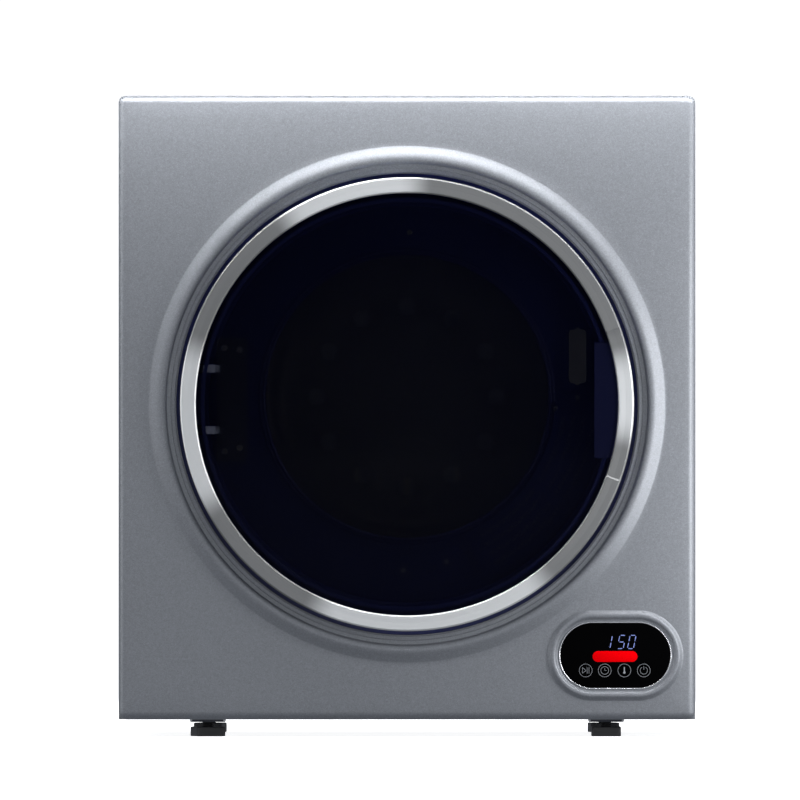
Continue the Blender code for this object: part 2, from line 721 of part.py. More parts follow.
def door_bowl(material, axis):
    """The clear inner moulding: a flange behind the glass and a bowl that reaches into the drum's mouth."""
    mouth = MOUTH_RADIUS
    levels = (
        (DRUM_Z, mouth - 50, 36.5),
        (DRUM_Z, mouth - 22.5, 31.5),
        (DRUM_Z, mouth - 11, 22.5),
        (DRUM_Z, mouth - 7.5, 12.5),
        (DRUM_Z, mouth + 1, 6.5),
        (DOOR_Z, BOWL_FLANGE, 6.5),
        (DOOR_Z, BOWL_FLANGE, 9),
        (DRUM_Z, mouth + 2.5, 9),
        (DRUM_Z, mouth - 5, 14),
        (DRUM_Z, mouth - 8.5, 24),
        (DRUM_Z, mouth - 20.5, 34),
        (DRUM_Z, mouth - 49, 39),
    )
    last = 360 - 360 / RIM_SIDES
    sections = [lift(arc(0, z, r, 0, last, RIM_SIDES - 1), "Y", f) for z, r, f in levels]
    bowl = loft("door_bowl", sections)
    half = ARM_HEIGHT / 2 + 1
    for side in (-1, 1):
        z = HINGE_Z + side * ARM_SPREAD
        cut(bowl, box("arm_notch", (HINGE_X + 8, BRACKET_LEFT + 4), (4, 11), (z - half, z + half)))
    cut(bowl, prism("grip_clearance", grip_outline(-0.6, RING_OUTER), "Y", 4, 11))
    return finish(bowl, material, axis)


def hinge_bracket(material):
    """A plate on the bulkhead, with a web and two arms that reach forward to the hinge pin's knuckles."""
    f = BULKHEAD_DEPTH - GAP
    half = BRACKET_HEIGHT / 2
    outline = rounded_rect(BRACKET_LEFT, BRACKET_LEFT + BRACKET_WIDTH, HINGE_Z - half, HINGE_Z + half, 4)
    bracket = prism("hinge_bracket", outline, "Y", f - 2.2, f)
    web_x = BRACKET_LEFT + 3
    reach = ARM_SPREAD + ARM_HEIGHT / 2 - 1
    join(bracket, box("hinge_web", (web_x, web_x + 2.4), (10.0, f - 1), (HINGE_Z - reach, HINGE_Z + reach)))
    for side in (-1, 1):
        z = (HINGE_Z + side * ARM_SPREAD - ARM_HEIGHT / 2, HINGE_Z + side * ARM_SPREAD + ARM_HEIGHT / 2)
        start = Vector((HINGE_X, HINGE_DEPTH))
        end = Vector((web_x + 1.6, 13.0))
        across = (end - start).normalized().orthogonal() * 2.0
        outline = [tuple(p) for p in (start - across, end - across, end + across, start + across)]
        join(bracket, prism("hinge_arm", outline, "Z", *z))
        join(bracket, cylinder("knuckle", tuple(start), KNUCKLE_RADIUS, z[0] + 0.2, z[1] - 0.2, "Z"))
    bore, reach = PIN_RADIUS + GAP, ARM_SPREAD + 28
    cut(bracket, cylinder("pin_hole", tuple(start), bore, HINGE_Z - reach, HINGE_Z + reach, "Z", 16))
    return finish(bracket, material)


def hinge_pin(material, axis):
    reach = ARM_SPREAD + ARM_HEIGHT / 2 + 7.5
    pin = cylinder("hinge_pin", (HINGE_X, HINGE_DEPTH), PIN_RADIUS, HINGE_Z - reach, HINGE_Z + reach, "Z", 16)
    return finish(pin, material, axis)


def latch_catch(material):
    """The catch on the bulkhead that holds the door's peg."""
    f = BULKHEAD_DEPTH - GAP
    x, z = CATCH_X, CATCH_Z
    width, height = CATCH_HALF_WIDTH, CATCH_HALF_HEIGHT
    outline = rounded_rect(x - width, x + width, z - height, z + height, CATCH_CORNER)
    catch = prism("latch_catch", outline, "Y", 12.6, f)
    cut(catch, box("peg_hole", (x - 6, x + 6), (10, 20), (z - 8, z + 8)))
    return finish(catch, material)


def door_striker(material, axis):
    """A plate on the door's inner face with the peg that enters the catch."""
    x, z = CATCH_X, CATCH_Z
    width, height = CATCH_HALF_WIDTH - 6, CATCH_HALF_HEIGHT - 9
    outline = rounded_rect(x - width, x + width, z - height, z + height, 3)
    plate = prism("door_striker", outline, "Y", 9 + GAP, 10.6)
    join(plate, prism("latch_peg", rounded_rect(x - 3, x + 3, z - 4, z + 4, 2), "Y", 10, 16))
    return finish(plate, material, axis)


def door_switch(material):
    """The switch body on the bulkhead, with a bore for its plunger."""
    x, z = CATCH_X, SWITCH_Z
    f = BULKHEAD_DEPTH - GAP
    width, height = SWITCH_HALF_WIDTH, SWITCH_HALF_HEIGHT
    body = box("door_switch", (x - width, x + width), (12.6, f), (z - height, z + height))
    cut(body, cylinder("plunger_bore", (x, z), 2.8, 10, 20, segments=16))
    return finish(body, material)


def switch_plunger(material):
    x, z = CATCH_X, SWITCH_Z
    axis = axis_at("plunger_axis", x, 9.6, z)
    plunger = cylinder("switch_plunger", (x, z), 2.5, 9.6, 17.4, segments=16)
    return finish(plunger, material, axis)


# ---------------------------------------------------------------- control


def stadium(offset):
    """The lens's outline, moved outwards by an offset."""
    x, z = LENS_WIDTH / 2 + offset, LENS_HEIGHT / 2 + offset
    return rounded_rect(LENS_X - x, LENS_X + x, LENS_Z - z, LENS_Z + z, z, 7)


def control_bezel(material):
    """The raised rim round the lens, with a neck that fits the panel's hole."""
    profile = (
        (0.5, -1.6),
        (1.4, -2.0),
        (2.4, -1.4),
        (7.0, -3.6),
        (10.0, -3.4),
        (BEZEL_RIM - 0.4, -1.2),
        (BEZEL_RIM, -GAP),
        (5.5, -GAP),
        (5.5, 2.2),
        (0.5, 2.2),
    )
    sections = [lift(stadium(offset), "Y", f) for offset, f in profile]
    return finish(loft("control_bezel", sections, ring=True), material)


def control_lens(material):
    sections = [lift(stadium(offset), "Y", f) for offset, f in ((-0.8, -1.5), (0.0, -0.9), (0.0, 1.5))]
    return finish(loft("control_lens", sections), material)


def display_module(material):
    module = box("display_module", (LENS_X - 22, LENS_X + 22), (1.8, 6.0), (LENS_Z - 20, LENS_Z + 18))
    return finish(module, material)


def control_board(material):
    board = box("control_board", (LENS_X - 50, LENS_X + 50), (6.3, 7.9), (LENS_Z - 32, LENS_Z + 32))
    return finish(board, material)


def control_housing(material):
    """A plastic tray behind the panel that holds the control board."""
    spans = (LENS_X - 59, LENS_X + 59, LENS_Z - 43, LENS_Z + 43)
    housing = tray("control_housing", spans, "Y", BULKHEAD_DEPTH - 0.5, 2.5, 2.0, 6.0)
    return finish(housing, material)


# ---------------------------------------------------------------- drum


def drum_shell(material, axis):
    """The drum's cylinder and its front wall, with a neck round the mouth's collar."""
    r, t, f = DRUM_RADIUS, DRUM_SHEET, DRUM_FRONT
    n = NECK_RADIUS
    profile = [
        (n, f - 4),
        (n, f),
        (r - 8, f),
        (r, f + 8),
        (r, DRUM_BACK),
        (r - t, DRUM_BACK),
        (r - t, f + 8 + t / 2),
        (r - 8 - t / 2, f + t),
        (n - t, f + t),
        (n - t, f - 4),
    ]
    return finish(turned("drum_shell", profile, (0, DRUM_Z), segments=DRUM_SIDES), material, axis)


def drum_back(material, axis):
    """The rear wall, with a ring of holes that lets the hot air in."""
    radius = DRUM_RADIUS - DRUM_SHEET - 1.5 * GAP
    back = cylinder("drum_back", (0, DRUM_Z), radius, DRUM_BACK - 3, DRUM_BACK - 2, segments=DRUM_SIDES)
    holes = [cylinder("shaft_hole", (0, DRUM_Z), SHAFT_RADIUS + GAP, DRUM_BACK - 9, DRUM_BACK + 9)]
    for i in range(12):
        turn = 2 * math.pi * i / 12
        centre = (95 * math.cos(turn), DRUM_Z + 95 * math.sin(turn))
        holes.append(cylinder("air_hole", centre, 10, DRUM_BACK - 9, DRUM_BACK + 9, segments=6))
    return finish(cut(back, *holes), material, axis)


def drum_lifter(index, material, axis):
    """A rounded rib along the drum that lifts the clothes."""
    turn = 90 + 360 / LIFTERS * index
    root = DRUM_RADIUS - DRUM_SHEET - 3 * GAP
    tip = root - LIFTER_HEIGHT
    foot_arc = arc(0, DRUM_Z, root, turn - 7, turn + 7, 4)
    tip_x = tip * math.cos(math.radians(turn))
    tip_z = DRUM_Z + tip * math.sin(math.radians(turn))
    crown = arc(tip_x, tip_z, 9, turn + 80, turn + 280, 6)
    lifter = prism(f"drum_lifter_{index + 1}", foot_arc + crown, "Y", DRUM_FRONT + 20, DRUM_BACK - 20)
    return finish(lifter, material, axis)


def drum_shaft(material, axis):
    """The stub shaft behind the drum, with the flange that carries the rear wall."""
    r, f = SHAFT_RADIUS, DRUM_BACK
    profile = [
        (0, f - 5),
        (r, f - 5),
        (r, f - 1.7),
        (30, f - 1.7),
        (30, f + 1),
        (r, f + 3),
        (r, CABINET_DEPTH - 10),
        (0, CABINET_DEPTH - 10),
    ]
    return finish(turned("drum_shaft", profile, (0, DRUM_Z), segments=24), material, axis)


def rear_brace(material):
    """A cross channel inside the rear panel that carries the drum's bearing."""
    f0, f1 = CABINET_DEPTH - 28, CABINET_DEPTH - 15
    half = HALF - SHEET - GAP
    z0, z1 = DRUM_Z - 26, DRUM_Z + 26
    t = 1.5
    outline = [
        (f0, z0),
        (f1, z0),
        (f1, z0 + t),
        (f0 + t, z0 + t),
        (f0 + t, z1 - t),
        (f1, z1 - t),
        (f1, z1),
        (f0, z1),
    ]
    brace = prism("rear_brace", outline, "X", -half, half)
    cut(brace, cylinder("bearing_seat", (0, DRUM_Z), 14 + GAP, f0 - 5, f0 + 5, segments=32))
    return finish(brace, material)


def shaft_bearing(material):
    f = CABINET_DEPTH - 28
    r = SHAFT_RADIUS + GAP
    profile = [(r, f - 3), (20, f - 3), (20, f - GAP), (14, f - GAP), (14, f + 10), (r, f + 10)]
    return finish(turned("shaft_bearing", profile, (0, DRUM_Z), segments=24), material)


def heater_shroud(material):
    """A dish behind the drum that leads the heated air through the drum's rear holes."""
    f0, f1 = DRUM_BACK + 3, CABINET_DEPTH - 32
    profile = [(24, f1), (130, f1), (130, f0), (128.8, f0), (128.8, f1 - 1.2), (24, f1 - 1.2)]
    shroud = turned("heater_shroud", profile, (0, DRUM_Z), segments=36)
    cut(shroud, box("air_inlet", (-50, 50), (f1 - 5, f1 + 5), (DRUM_Z - 112, DRUM_Z - 62)))
    return finish(shroud, material)


def ptc_heater(material):
    """The finned heating block across the shroud's air inlet."""
    f0, f1 = DRUM_BACK + 8, CABINET_DEPTH - 36
    z0, z1 = DRUM_Z - 112, DRUM_Z - 62
    heater = box("ptc_heater", (-55, 55), (f0, f1), (z0, z1))
    gaps = []
    for i in range(6):
        x = -45 + 18 * i
        gaps.append(box("fin_gap", (x - 6, x + 6), (f0 - 5, f1 + 5), (z0 + 5, z1 - 5)))
    return finish(cut(heater, *gaps), material)


def thermal_cutout(material):
    f = CABINET_DEPTH - 32 + GAP
    profile = [(0, f), (12, f), (12, f + 2), (8, f + 2), (8, f + 8), (0, f + 8)]
    return finish(turned("thermal_cutout", profile, (0, DRUM_Z + 95), segments=20), material)


# ---------------------------------------------------------------- drive


def motor_housing(material):
    """The motor's casing, hollow for its rotor and bored for its shaft."""
    r, f0, f1 = MOTOR_RADIUS, MOTOR_FRONT, MOTOR_BACK
    bore = MOTOR_SHAFT_RADIUS + 0.5
    profile = [
        (bore, f0),
        (r - 4, f0),
        (r, f0 + 4),
        (r, f1 - 4),
        (r - 4, f1),
        (bore, f1),
        (bore, f1 - 4),
        (r - 10, f1 - 4),
        (r - 10, f0 + 4),
        (bore, f0 + 4),
    ]
    return finish(turned("motor_housing", profile, (MOTOR_X, MOTOR_Z), segments=24), material)


def motor_bracket(material):
    """The saddle that stands on the base pan under the motor."""
    floor = BOTTOM + BASE_SHEET + GAP
    saddle = arc(MOTOR_X, MOTOR_Z, MOTOR_RADIUS + 0.5, -125, -55, 10)
    wide, narrow = MOTOR_RADIUS * 0.88, MOTOR_RADIUS * 0.72
    shoulder = MOTOR_Z - MOTOR_RADIUS * 0.86
    outline = [(MOTOR_X - wide, floor), (MOTOR_X + wide, floor), (MOTOR_X + wide, floor + 4)]
    outline += [(MOTOR_X + narrow, shoulder), *saddle[::-1], (MOTOR_X - narrow, shoulder)]
    outline.append((MOTOR_X - wide, floor + 4))
    return finish(prism("motor_bracket", outline, "Y", MOTOR_FRONT + 30, MOTOR_FRONT + 70), material)


def motor_shaft(material, axis):
    """The rotor's core on the shaft that drives the blower at one end and the belt at the other."""
    r = MOTOR_SHAFT_RADIUS
    f0, f1 = MOTOR_FRONT + 25, MOTOR_BACK - 25
    profile = [
        (0, BLOWER_FRONT + 8),
        (r, BLOWER_FRONT + 8),
        (r, f0),
        (MOTOR_RADIUS - 11.5, f0),
        (MOTOR_RADIUS - 11.5, f1),
        (r, f1),
        (r, BELT_DEPTH + 15),
        (0, BELT_DEPTH + 15),
    ]
    return finish(turned("motor_shaft", profile, (MOTOR_X, MOTOR_Z), segments=20), material, axis)


def grooved_pulley(name, radius, bore, centre, material, axis):
    """A pulley whose two flanges keep the belt in place."""
    half = BELT_WIDTH / 2 + 0.8
    f = BELT_DEPTH
    profile = [
        (bore, f - half - 2),
        (radius + 3, f - half - 2),
        (radius + 3, f - half),
        (radius, f - half),
        (radius, f + half),
        (radius + 3, f + half),
        (radius + 3, f + half + 2),
        (bore, f + half + 2),
    ]
    return finish(turned(name, profile, centre, segments=20), material, axis)


def blower_wheel(material, axis):
    """A wheel of straight blades on a back plate."""
    x, z = MOTOR_X, MOTOR_Z
    hub, tip = 16.0, BLOWER_RADIUS - 11.0
    blade = [(x + hub, z - 1.2), (x + tip, z - 1.2), (x + tip, z + 1.2), (x + hub, z + 1.2)]
    blades = 12
    outline = []
    for i in range(blades):
        outline += turned_about(blade, x, z, 360 / blades * i)
    f0, f1 = BLOWER_FRONT + 8, BLOWER_BACK - 6
    wheel = prism("blower_wheel", outline, "Y", f0, f1 - 1)
    join(wheel, cylinder("blower_plate", (x, z), tip + 1.5, f1 - 2, f1, segments=36))
    cut(wheel, cylinder("wheel_bore", (x, z), MOTOR_SHAFT_RADIUS + GAP + 0.1, f0 - 5, f1 + 5, segments=16))
    return finish(wheel, material, axis)


def belt_path():
    """Points round the belt's centre line: over the drum, against the idler and round the motor pulley."""
    half = BELT_THICKNESS / 2 + GAP
    stops = (
        (Vector((0, DRUM_Z)), DRUM_RADIUS + half, 1),
        (Vector((IDLER_X, IDLER_Z)), IDLER_RADIUS + half, -1),
        (Vector((MOTOR_X, MOTOR_Z)), PULLEY_RADIUS + half, 1),
    )
    joints = []
    for i, (here, r1, s1) in enumerate(stops):
        there, r2, s2 = stops[(i + 1) % 3]
        line = there - here
        turn = math.asin((s2 * r2 - s1 * r1) / line.length)
        direction = Matrix.Rotation(-turn, 2) @ line.normalized()
        left = Vector((-direction.y, direction.x))
        joints.append((here - left * s1 * r1, there - left * s2 * r2))
    points = []
    for i, (centre, radius, way) in enumerate(stops):
        arrive = joints[i - 1][1] - centre
        leave = joints[i][0] - centre
        start = math.atan2(arrive.y, arrive.x)
        sweep = (way * (math.atan2(leave.y, leave.x) - start)) % (2 * math.pi)
        count = max(3, math.ceil(sweep / math.radians(4 if radius > 100 else 18)))
        for k in range(count + 1):
            angle = start + way * sweep * k / count
            outward = Vector((math.cos(angle), math.sin(angle)))
            points.append((centre + outward * radius, outward * way))
    return points


def drive_belt(material):
    half = BELT_THICKNESS / 2
    f0, f1 = BELT_DEPTH - BELT_WIDTH / 2, BELT_DEPTH + BELT_WIDTH / 2
    sections = []
    for point, outward in belt_path():
        near, far = point - outward * half, point + outward * half
        sections.append([(near.x, f0, near.y), (far.x, f0, far.y), (far.x, f1, far.y), (near.x, f1, near.y)])
    return finish(loft("drive_belt", sections, ring=True), material)


def idler_arm(material, axis):
    """A flat arm from its pivot to the stud that carries the idler pulley."""
    f0, f1 = BELT_DEPTH + 12, BELT_DEPTH + 15
    along = math.degrees(math.atan2(IDLER_Z - IDLER_PIVOT_Z, IDLER_X - IDLER_PIVOT_X))
    outline = arc(IDLER_X, IDLER_Z, 8, along - 90, along + 90, 8)
    outline += arc(IDLER_PIVOT_X, IDLER_PIVOT_Z, 10, along + 90, along + 270, 8)
    arm = prism("idler_arm", outline, "Y", f0, f1)
    join(arm, cylinder("idler_stud", (IDLER_X, IDLER_Z), 4.0, BELT_DEPTH - 9, f0 + 1, segments=16))
    cut(arm, cylinder("pivot_bore", (IDLER_PIVOT_X, IDLER_PIVOT_Z), 5 + GAP, f0 - 5, f1 + 5, segments=20))
    return finish(arm, material, axis)


def idler_bracket(material):
    """The upright on the base pan with the stud that the idler arm turns on."""
    x, z = IDLER_PIVOT_X, IDLER_PIVOT_Z
    f = BELT_DEPTH + 32
    floor = BOTTOM + BASE_SHEET + GAP
    bracket = box("idler_bracket", (x - 16, x + 16), (f, f + 2), (floor, z + 14))
    join(bracket, box("bracket_foot", (x - 16, x + 16), (f + 1, f + 24), (floor, floor + 2)))
    join(bracket, cylinder("pivot_stud", (x, z), 5.0, BELT_DEPTH + 9, f + 1, segments=20))
    return finish(bracket, material)


def idler_spring(material):
    """A torsion spring round the pivot stud, which presses the idler against the belt."""
    x, z = IDLER_PIVOT_X, IDLER_PIVOT_Z
    start, turns, steps = BELT_DEPTH + 17.5, 4, 10
    pitch, wire = 2.9, 1.1
    curve = bpy.data.curves.new("idler_spring", "CURVE")
    curve.dimensions = "3D"
    curve.bevel_depth = wire * MM
    curve.bevel_resolution = 1
    curve.use_fill_caps = True
    spline = curve.splines.new("POLY")
    count = turns * steps
    spline.points.add(count)
    for i, point in enumerate(spline.points):
        turn = 2 * math.pi * i / steps
        f = start + pitch * i / steps
        position = Vector((x + 8.5 * math.cos(turn), FRONT_Y + f, z + 8.5 * math.sin(turn))) * MM
        point.co = (*position, 1.0)
    obj = bpy.data.objects.new("idler_spring", curve)
    bpy.context.scene.collection.objects.link(obj)
    curve.materials.append(material)
    return obj


def motor_capacitor(material):
    """The run capacitor, lying along the base pan."""
    r, z = 17.5, BOTTOM + BASE_SHEET + GAP + 17.6
    f0, f1 = DRUM_BACK - 80, DRUM_BACK - 20
    profile = [(0, f0), (r - 2, f0), (r, f0 + 2), (r, f1 - 2), (r - 2, f1), (6, f1), (6, f1 + 6), (0, f1 + 6)]
    return finish(turned("motor_capacitor", profile, (-HALF + 100, z), segments=24), material)


def power_board(material):
    """The relay board on four posts, with its transformer, relay and heat sink."""
    floor = BOTTOM + BASE_SHEET + GAP
    x0, x1, f0, f1 = -HALF + 50, -HALF + 170, 76.0, 166.0
    board = box("power_board", (x0, x1), (f0, f1), (floor + 8, floor + 9.6))
    for x in (x0 + 6, x1 - 6):
        for f in (f0 + 6, f1 - 6):
            join(board, box("board_post", (x - 3, x + 3), (f - 3, f + 3), (floor, floor + 8.5)))
    join(board, box("transformer", (x0 + 14, x0 + 46), (f0 + 16, f0 + 44), (floor + 9, floor + 32)))
    join(board, box("relay", (x0 + 60, x0 + 80), (f0 + 14, f0 + 30), (floor + 9, floor + 24)))
    join(board, box("heat_sink", (x0 + 92, x0 + 98), (f0 + 14, f0 + 70), (floor + 9, floor + 34)))
    return finish(board, material)


# ---------------------------------------------------------------- the whole object


def build():
    for obj in list(bpy.data.objects):
        bpy.data.objects.remove(obj)

    silver = paint("silver_paint", (0.30, 0.31, 0.35), 0.38, 0.6)
    trim = paint("silver_trim", (0.50, 0.51, 0.55), 0.25, 0.8)
    zinc = paint("zinc_sheet", (0.55, 0.56, 0.58), 0.35, 0.9)
    steel = paint("steel", (0.60, 0.60, 0.62), 0.25, 1.0)
    black = paint("black_plastic", (0.010, 0.010, 0.012), 0.45)
    grey = paint("grey_plastic", (0.25, 0.26, 0.28), 0.5)
    navy = paint("navy_plastic", (0.010, 0.014, 0.05), 0.3)
    glass = paint("dark_glass", (0.002, 0.003, 0.012), 0.04)
    clear = paint("clear_plastic", (0.03, 0.035, 0.10), 0.08)
    rubber = paint("rubber", (0.015, 0.015, 0.017), 0.8)
    felt = paint("felt", (0.30, 0.28, 0.24), 0.95)
    board = paint("board", (0.02, 0.12, 0.05), 0.5)
    ceramic = paint("heater", (0.55, 0.50, 0.42), 0.6)
    enamel = paint("motor_enamel", (0.10, 0.10, 0.11), 0.5, 0.4)

    front_panel(silver)
    side_panel("left_side_panel", -1, silver)
    side_panel("right_side_panel", 1, silver)
    top_panel(silver)
    rear_panel(zinc)
    base_pan(zinc)
    front_bulkhead(navy)
    drum_felt_ring(felt)
    door_seal(rubber)
    hinge_bracket(steel)
    latch_catch(black)
    filter_cover(navy)
    lint_screen(grey)
    outlet_duct(grey)
    blower_housing(grey)
    exhaust_duct(grey)
    exhaust_collar(grey)
    cord_gland(black)
    door_switch(black)
    switch_plunger(grey)

    control_bezel(silver)
    control_lens(glass)
    display_module(black)
    control_board(board)
    control_housing(grey)

    hinge_axis = axis_at("hinge_axis", HINGE_X, HINGE_DEPTH, HINGE_Z)
    door_ring(trim, hinge_axis)
    door_glass(glass, hinge_axis)
    door_frame(navy, hinge_axis)
    door_bowl(clear, hinge_axis)
    handle_cup(black, hinge_axis)
    door_striker(steel, hinge_axis)
    hinge_pin(steel, hinge_axis)

    drum_axis = axis_at("drum_axis", 0, DRUM_FRONT, DRUM_Z)
    drum_shell(zinc, drum_axis)
    drum_back(zinc, drum_axis)
    for index in range(LIFTERS):
        drum_lifter(index, grey, drum_axis)
    drum_shaft(steel, drum_axis)
    rear_brace(zinc)
    shaft_bearing(steel)
    heater_shroud(zinc)
    ptc_heater(ceramic)
    thermal_cutout(steel)

    motor_axis = axis_at("motor_axis", MOTOR_X, BELT_DEPTH, MOTOR_Z)
    motor_housing(enamel)
    motor_bracket(zinc)
    motor_shaft(steel, motor_axis)
    bore = MOTOR_SHAFT_RADIUS + GAP
    grooved_pulley("motor_pulley", PULLEY_RADIUS, bore, (MOTOR_X, MOTOR_Z), steel, motor_axis)
    blower_wheel(grey, motor_axis)
    drive_belt(rubber)
    arm_axis = axis_at("idler_arm_axis", IDLER_PIVOT_X, BELT_DEPTH, IDLER_PIVOT_Z)
    wheel_axis = axis_at("idler_wheel_axis", IDLER_X, BELT_DEPTH, IDLER_Z)
    idler_arm(zinc, arm_axis)
    grooved_pulley("idler_pulley", IDLER_RADIUS, 4.0 + GAP, (IDLER_X, IDLER_Z), grey, wheel_axis)
    idler_bracket(zinc)
    idler_spring(steel)
    motor_capacitor(grey)
    power_board(board)

    front, rear = FOOT_DEPTHS
    foot("foot_front_left", -FOOT_X, front, 17.5, black)
    foot("foot_front_right", FOOT_X, front, 0.0, black)
    foot("foot_rear_left", -FOOT_X, rear, -12.0, black)
    foot("foot_rear_right", FOOT_X, rear, 8.0, black)


build()
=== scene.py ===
"""The looks of a compact vented clothes dryer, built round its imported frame."""

import logging
import math
from dataclasses import dataclass, field
from enum import Enum

import bmesh
import bpy
import numpy as np
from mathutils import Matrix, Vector
from numpy.typing import NDArray


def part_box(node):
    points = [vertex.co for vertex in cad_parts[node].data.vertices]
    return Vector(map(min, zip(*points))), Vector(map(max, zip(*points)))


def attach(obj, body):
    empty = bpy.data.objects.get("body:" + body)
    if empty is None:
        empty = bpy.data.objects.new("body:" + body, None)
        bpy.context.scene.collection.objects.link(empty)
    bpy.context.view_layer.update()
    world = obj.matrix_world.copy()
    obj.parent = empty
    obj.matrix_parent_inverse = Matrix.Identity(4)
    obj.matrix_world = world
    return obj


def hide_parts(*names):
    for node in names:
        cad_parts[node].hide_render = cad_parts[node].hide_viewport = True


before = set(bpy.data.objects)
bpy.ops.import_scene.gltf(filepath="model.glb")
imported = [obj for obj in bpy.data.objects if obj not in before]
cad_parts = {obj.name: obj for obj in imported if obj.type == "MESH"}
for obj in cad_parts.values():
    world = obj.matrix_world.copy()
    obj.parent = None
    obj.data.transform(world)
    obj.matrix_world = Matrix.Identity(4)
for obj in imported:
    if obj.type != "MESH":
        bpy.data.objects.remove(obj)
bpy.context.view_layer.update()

MM = 0.001
FLANGE = 24 * MM  # how far the front panel's sides reach back
FELT_REACH = 12.3 * MM  # from the drum mouth's edge to the felt ring's outer edge
LOG = logging.getLogger("dryer")
Grid = NDArray[np.float64]
Colour = tuple[float, float, float]


# ---------------------------------------------------------------- surfaces


def ramp(start: float, end: float, count: int) -> Grid:
    """Gives evenly spaced values from start to end, both included."""
    return np.linspace(start, end, count)


def turn(count: int) -> Grid:
    """Gives angles once round a circle, in radians, without the closing one."""
    return np.arange(count) * (2 * math.pi / count)


def softened(corners: list[tuple[float, float]], radius: float, steps: int = 4) -> Grid:
    """Rounds the corners of a closed outline.

    Each corner P becomes the curve (1-t)^2 A + 2t(1-t) P + t^2 B, where A and B lie on the two edges at P,
    at the radius from P or at 0.45 of the edge where the edge is short.

    Args:
        corners: The outline's corners, in order.
        radius: How far from each corner its curve starts.
        steps: Points on each curve, less one.

    Returns:
        The rounded outline's points, as an array of two columns.
    """
    p = np.array(corners, float)
    before, after = np.roll(p, 1, axis=0) - p, np.roll(p, -1, axis=0) - p
    lengths = [np.linalg.norm(edge, axis=1, keepdims=True) for edge in (before, after)]
    a = p + before / lengths[0] * np.minimum(radius, 0.45 * lengths[0])
    b = p + after / lengths[1] * np.minimum(radius, 0.45 * lengths[1])
    t = ramp(0, 1, steps + 1)[None, :, None]
    curve = (1 - t) ** 2 * a[:, None] + 2 * t * (1 - t) * p[:, None] + t**2 * b[:, None]
    return curve.reshape(-1, 2)


def surface(
    name: str,
    points: Grid,
    wrap_rows: bool = True,
    wrap_columns: bool = True,
    caps: bool = False,
    sharp: float = 35,
) -> bpy.types.Object:
    """Makes a mesh from a grid of points, with its faces pointing outwards.

    Args:
        name: The piece's name.
        points: Rows by columns by xyz, in metres.
        wrap_rows: Whether the last row joins the first.
        wrap_columns: Whether the last column joins the first.
        caps: Whether a flat face closes the first row and the last one.
        sharp: The angle in degrees above which an edge is shaded as a crease.

    Returns:
        The new object, at the origin.
    """
    rows, columns = points.shape[:2]
    index = np.arange(rows * columns).reshape(rows, columns)
    down = np.roll(index, -1, axis=0)
    right = np.roll(index, -1, axis=1)
    both = np.roll(down, -1, axis=1)
    quads = np.stack([index, right, both, down], axis=-1)
    row_end = rows if wrap_rows else rows - 1
    column_end = columns if wrap_columns else columns - 1
    quads = quads[:row_end, :column_end].reshape(-1, 4)
    faces = quads.tolist()
    if caps:
        faces += [index[0][::-1].tolist(), index[-1].tolist()]
    return mesh_piece(name, points.reshape(-1, 3), faces, sharp)


def mesh_piece(name: str, points: Grid, faces: list[list[int]], sharp: float = 35) -> bpy.types.Object:
    """Makes a closed mesh object: doubles are merged, and its normals are turned outwards.

    Args:
        name: The piece's name.
        points: One row of xyz for each vertex, in metres.
        faces: Each face's vertices.
        sharp: The angle in degrees above which an edge is shaded as a crease.

    Returns:
        The new object, at the origin.
    """
    mesh = bpy.data.meshes.new(name)
    mesh.from_pydata(points.tolist(), [], faces)
    work = bmesh.new()
    work.from_mesh(mesh)
    bmesh.ops.remove_doubles(work, verts=work.verts, dist=1e-6)
    bmesh.ops.recalc_face_normals(work, faces=work.faces)
    work.to_mesh(mesh)
    work.free()
    mesh.shade_smooth()
    mesh.set_sharp_from_angle(angle=math.radians(sharp))
    obj = bpy.data.objects.new(name, mesh)
    bpy.context.scene.collection.objects.link(obj)
    return obj


def lathe(name: str, profile: Grid, centre: Vector, sides: int = 192, sharp: float = 35) -> bpy.types.Object:
    """Turns a closed profile about the axis through the centre, along Y.

    The point for profile (r, y) and angle a is (cx + r cos a, y, cz + r sin a).

    Args:
        name: The piece's name.
        profile: Radius and y of each point, in order round the section.
        centre: A point on the axis.
        sides: Steps round the axis.
        sharp: The crease angle in degrees.

    Returns:
        The new object.
    """
    a = turn(sides)
    r, y = profile[:, :1], profile[:, 1:]
    points = np.stack([centre.x + r * np.cos(a), y + 0 * a, centre.z + r * np.sin(a)], axis=-1)
    return surface(name, points, sharp=sharp)


def stadium(centre: Vector, half_width: float, half_height: float, sides: int = 160) -> tuple[Grid, Grid]:
    """Gives a shape with two straight sides and round ends, as a spine and a direction.

    An outline at a distance d from the spine is spine + d * direction. The spine's points are the centres of
    the two end arcs, and the direction goes once round.

    Args:
        centre: The middle of the shape.
        half_width: Half of its width.
        half_height: Half of its height, which is also the radius of its ends.
        sides: Points on the outline.

    Returns:
        The spine's points and the directions, each with an x and a z column.
    """
    a = turn(sides) + math.pi / sides
    direction = np.stack([np.cos(a), np.sin(a)], axis=-1)
    reach = half_width - half_height
    spine = np.stack([centre.x + reach * np.sign(direction[:, 0]), np.full(sides, centre.z)], axis=-1)
    return spine, direction


def around(spine: Grid, direction: Grid, rows: Grid) -> Grid:
    """Carries a profile round an outline.

    The point for row (d, y) is the outline's point at a distance d from the spine, at depth y.

    Args:
        spine: The outline's spine.
        direction: The outline's outward directions.
        rows: Distance and y of each point of the profile.

    Returns:
        The grid of points, one row for each point of the profile.
    """
    flat = spine[None] + rows[:, :1, None] * direction[None]
    depth = np.broadcast_to(rows[:, 1:], flat.shape[:2])
    return np.stack([flat[..., 0], depth, flat[..., 1]], axis=-1)


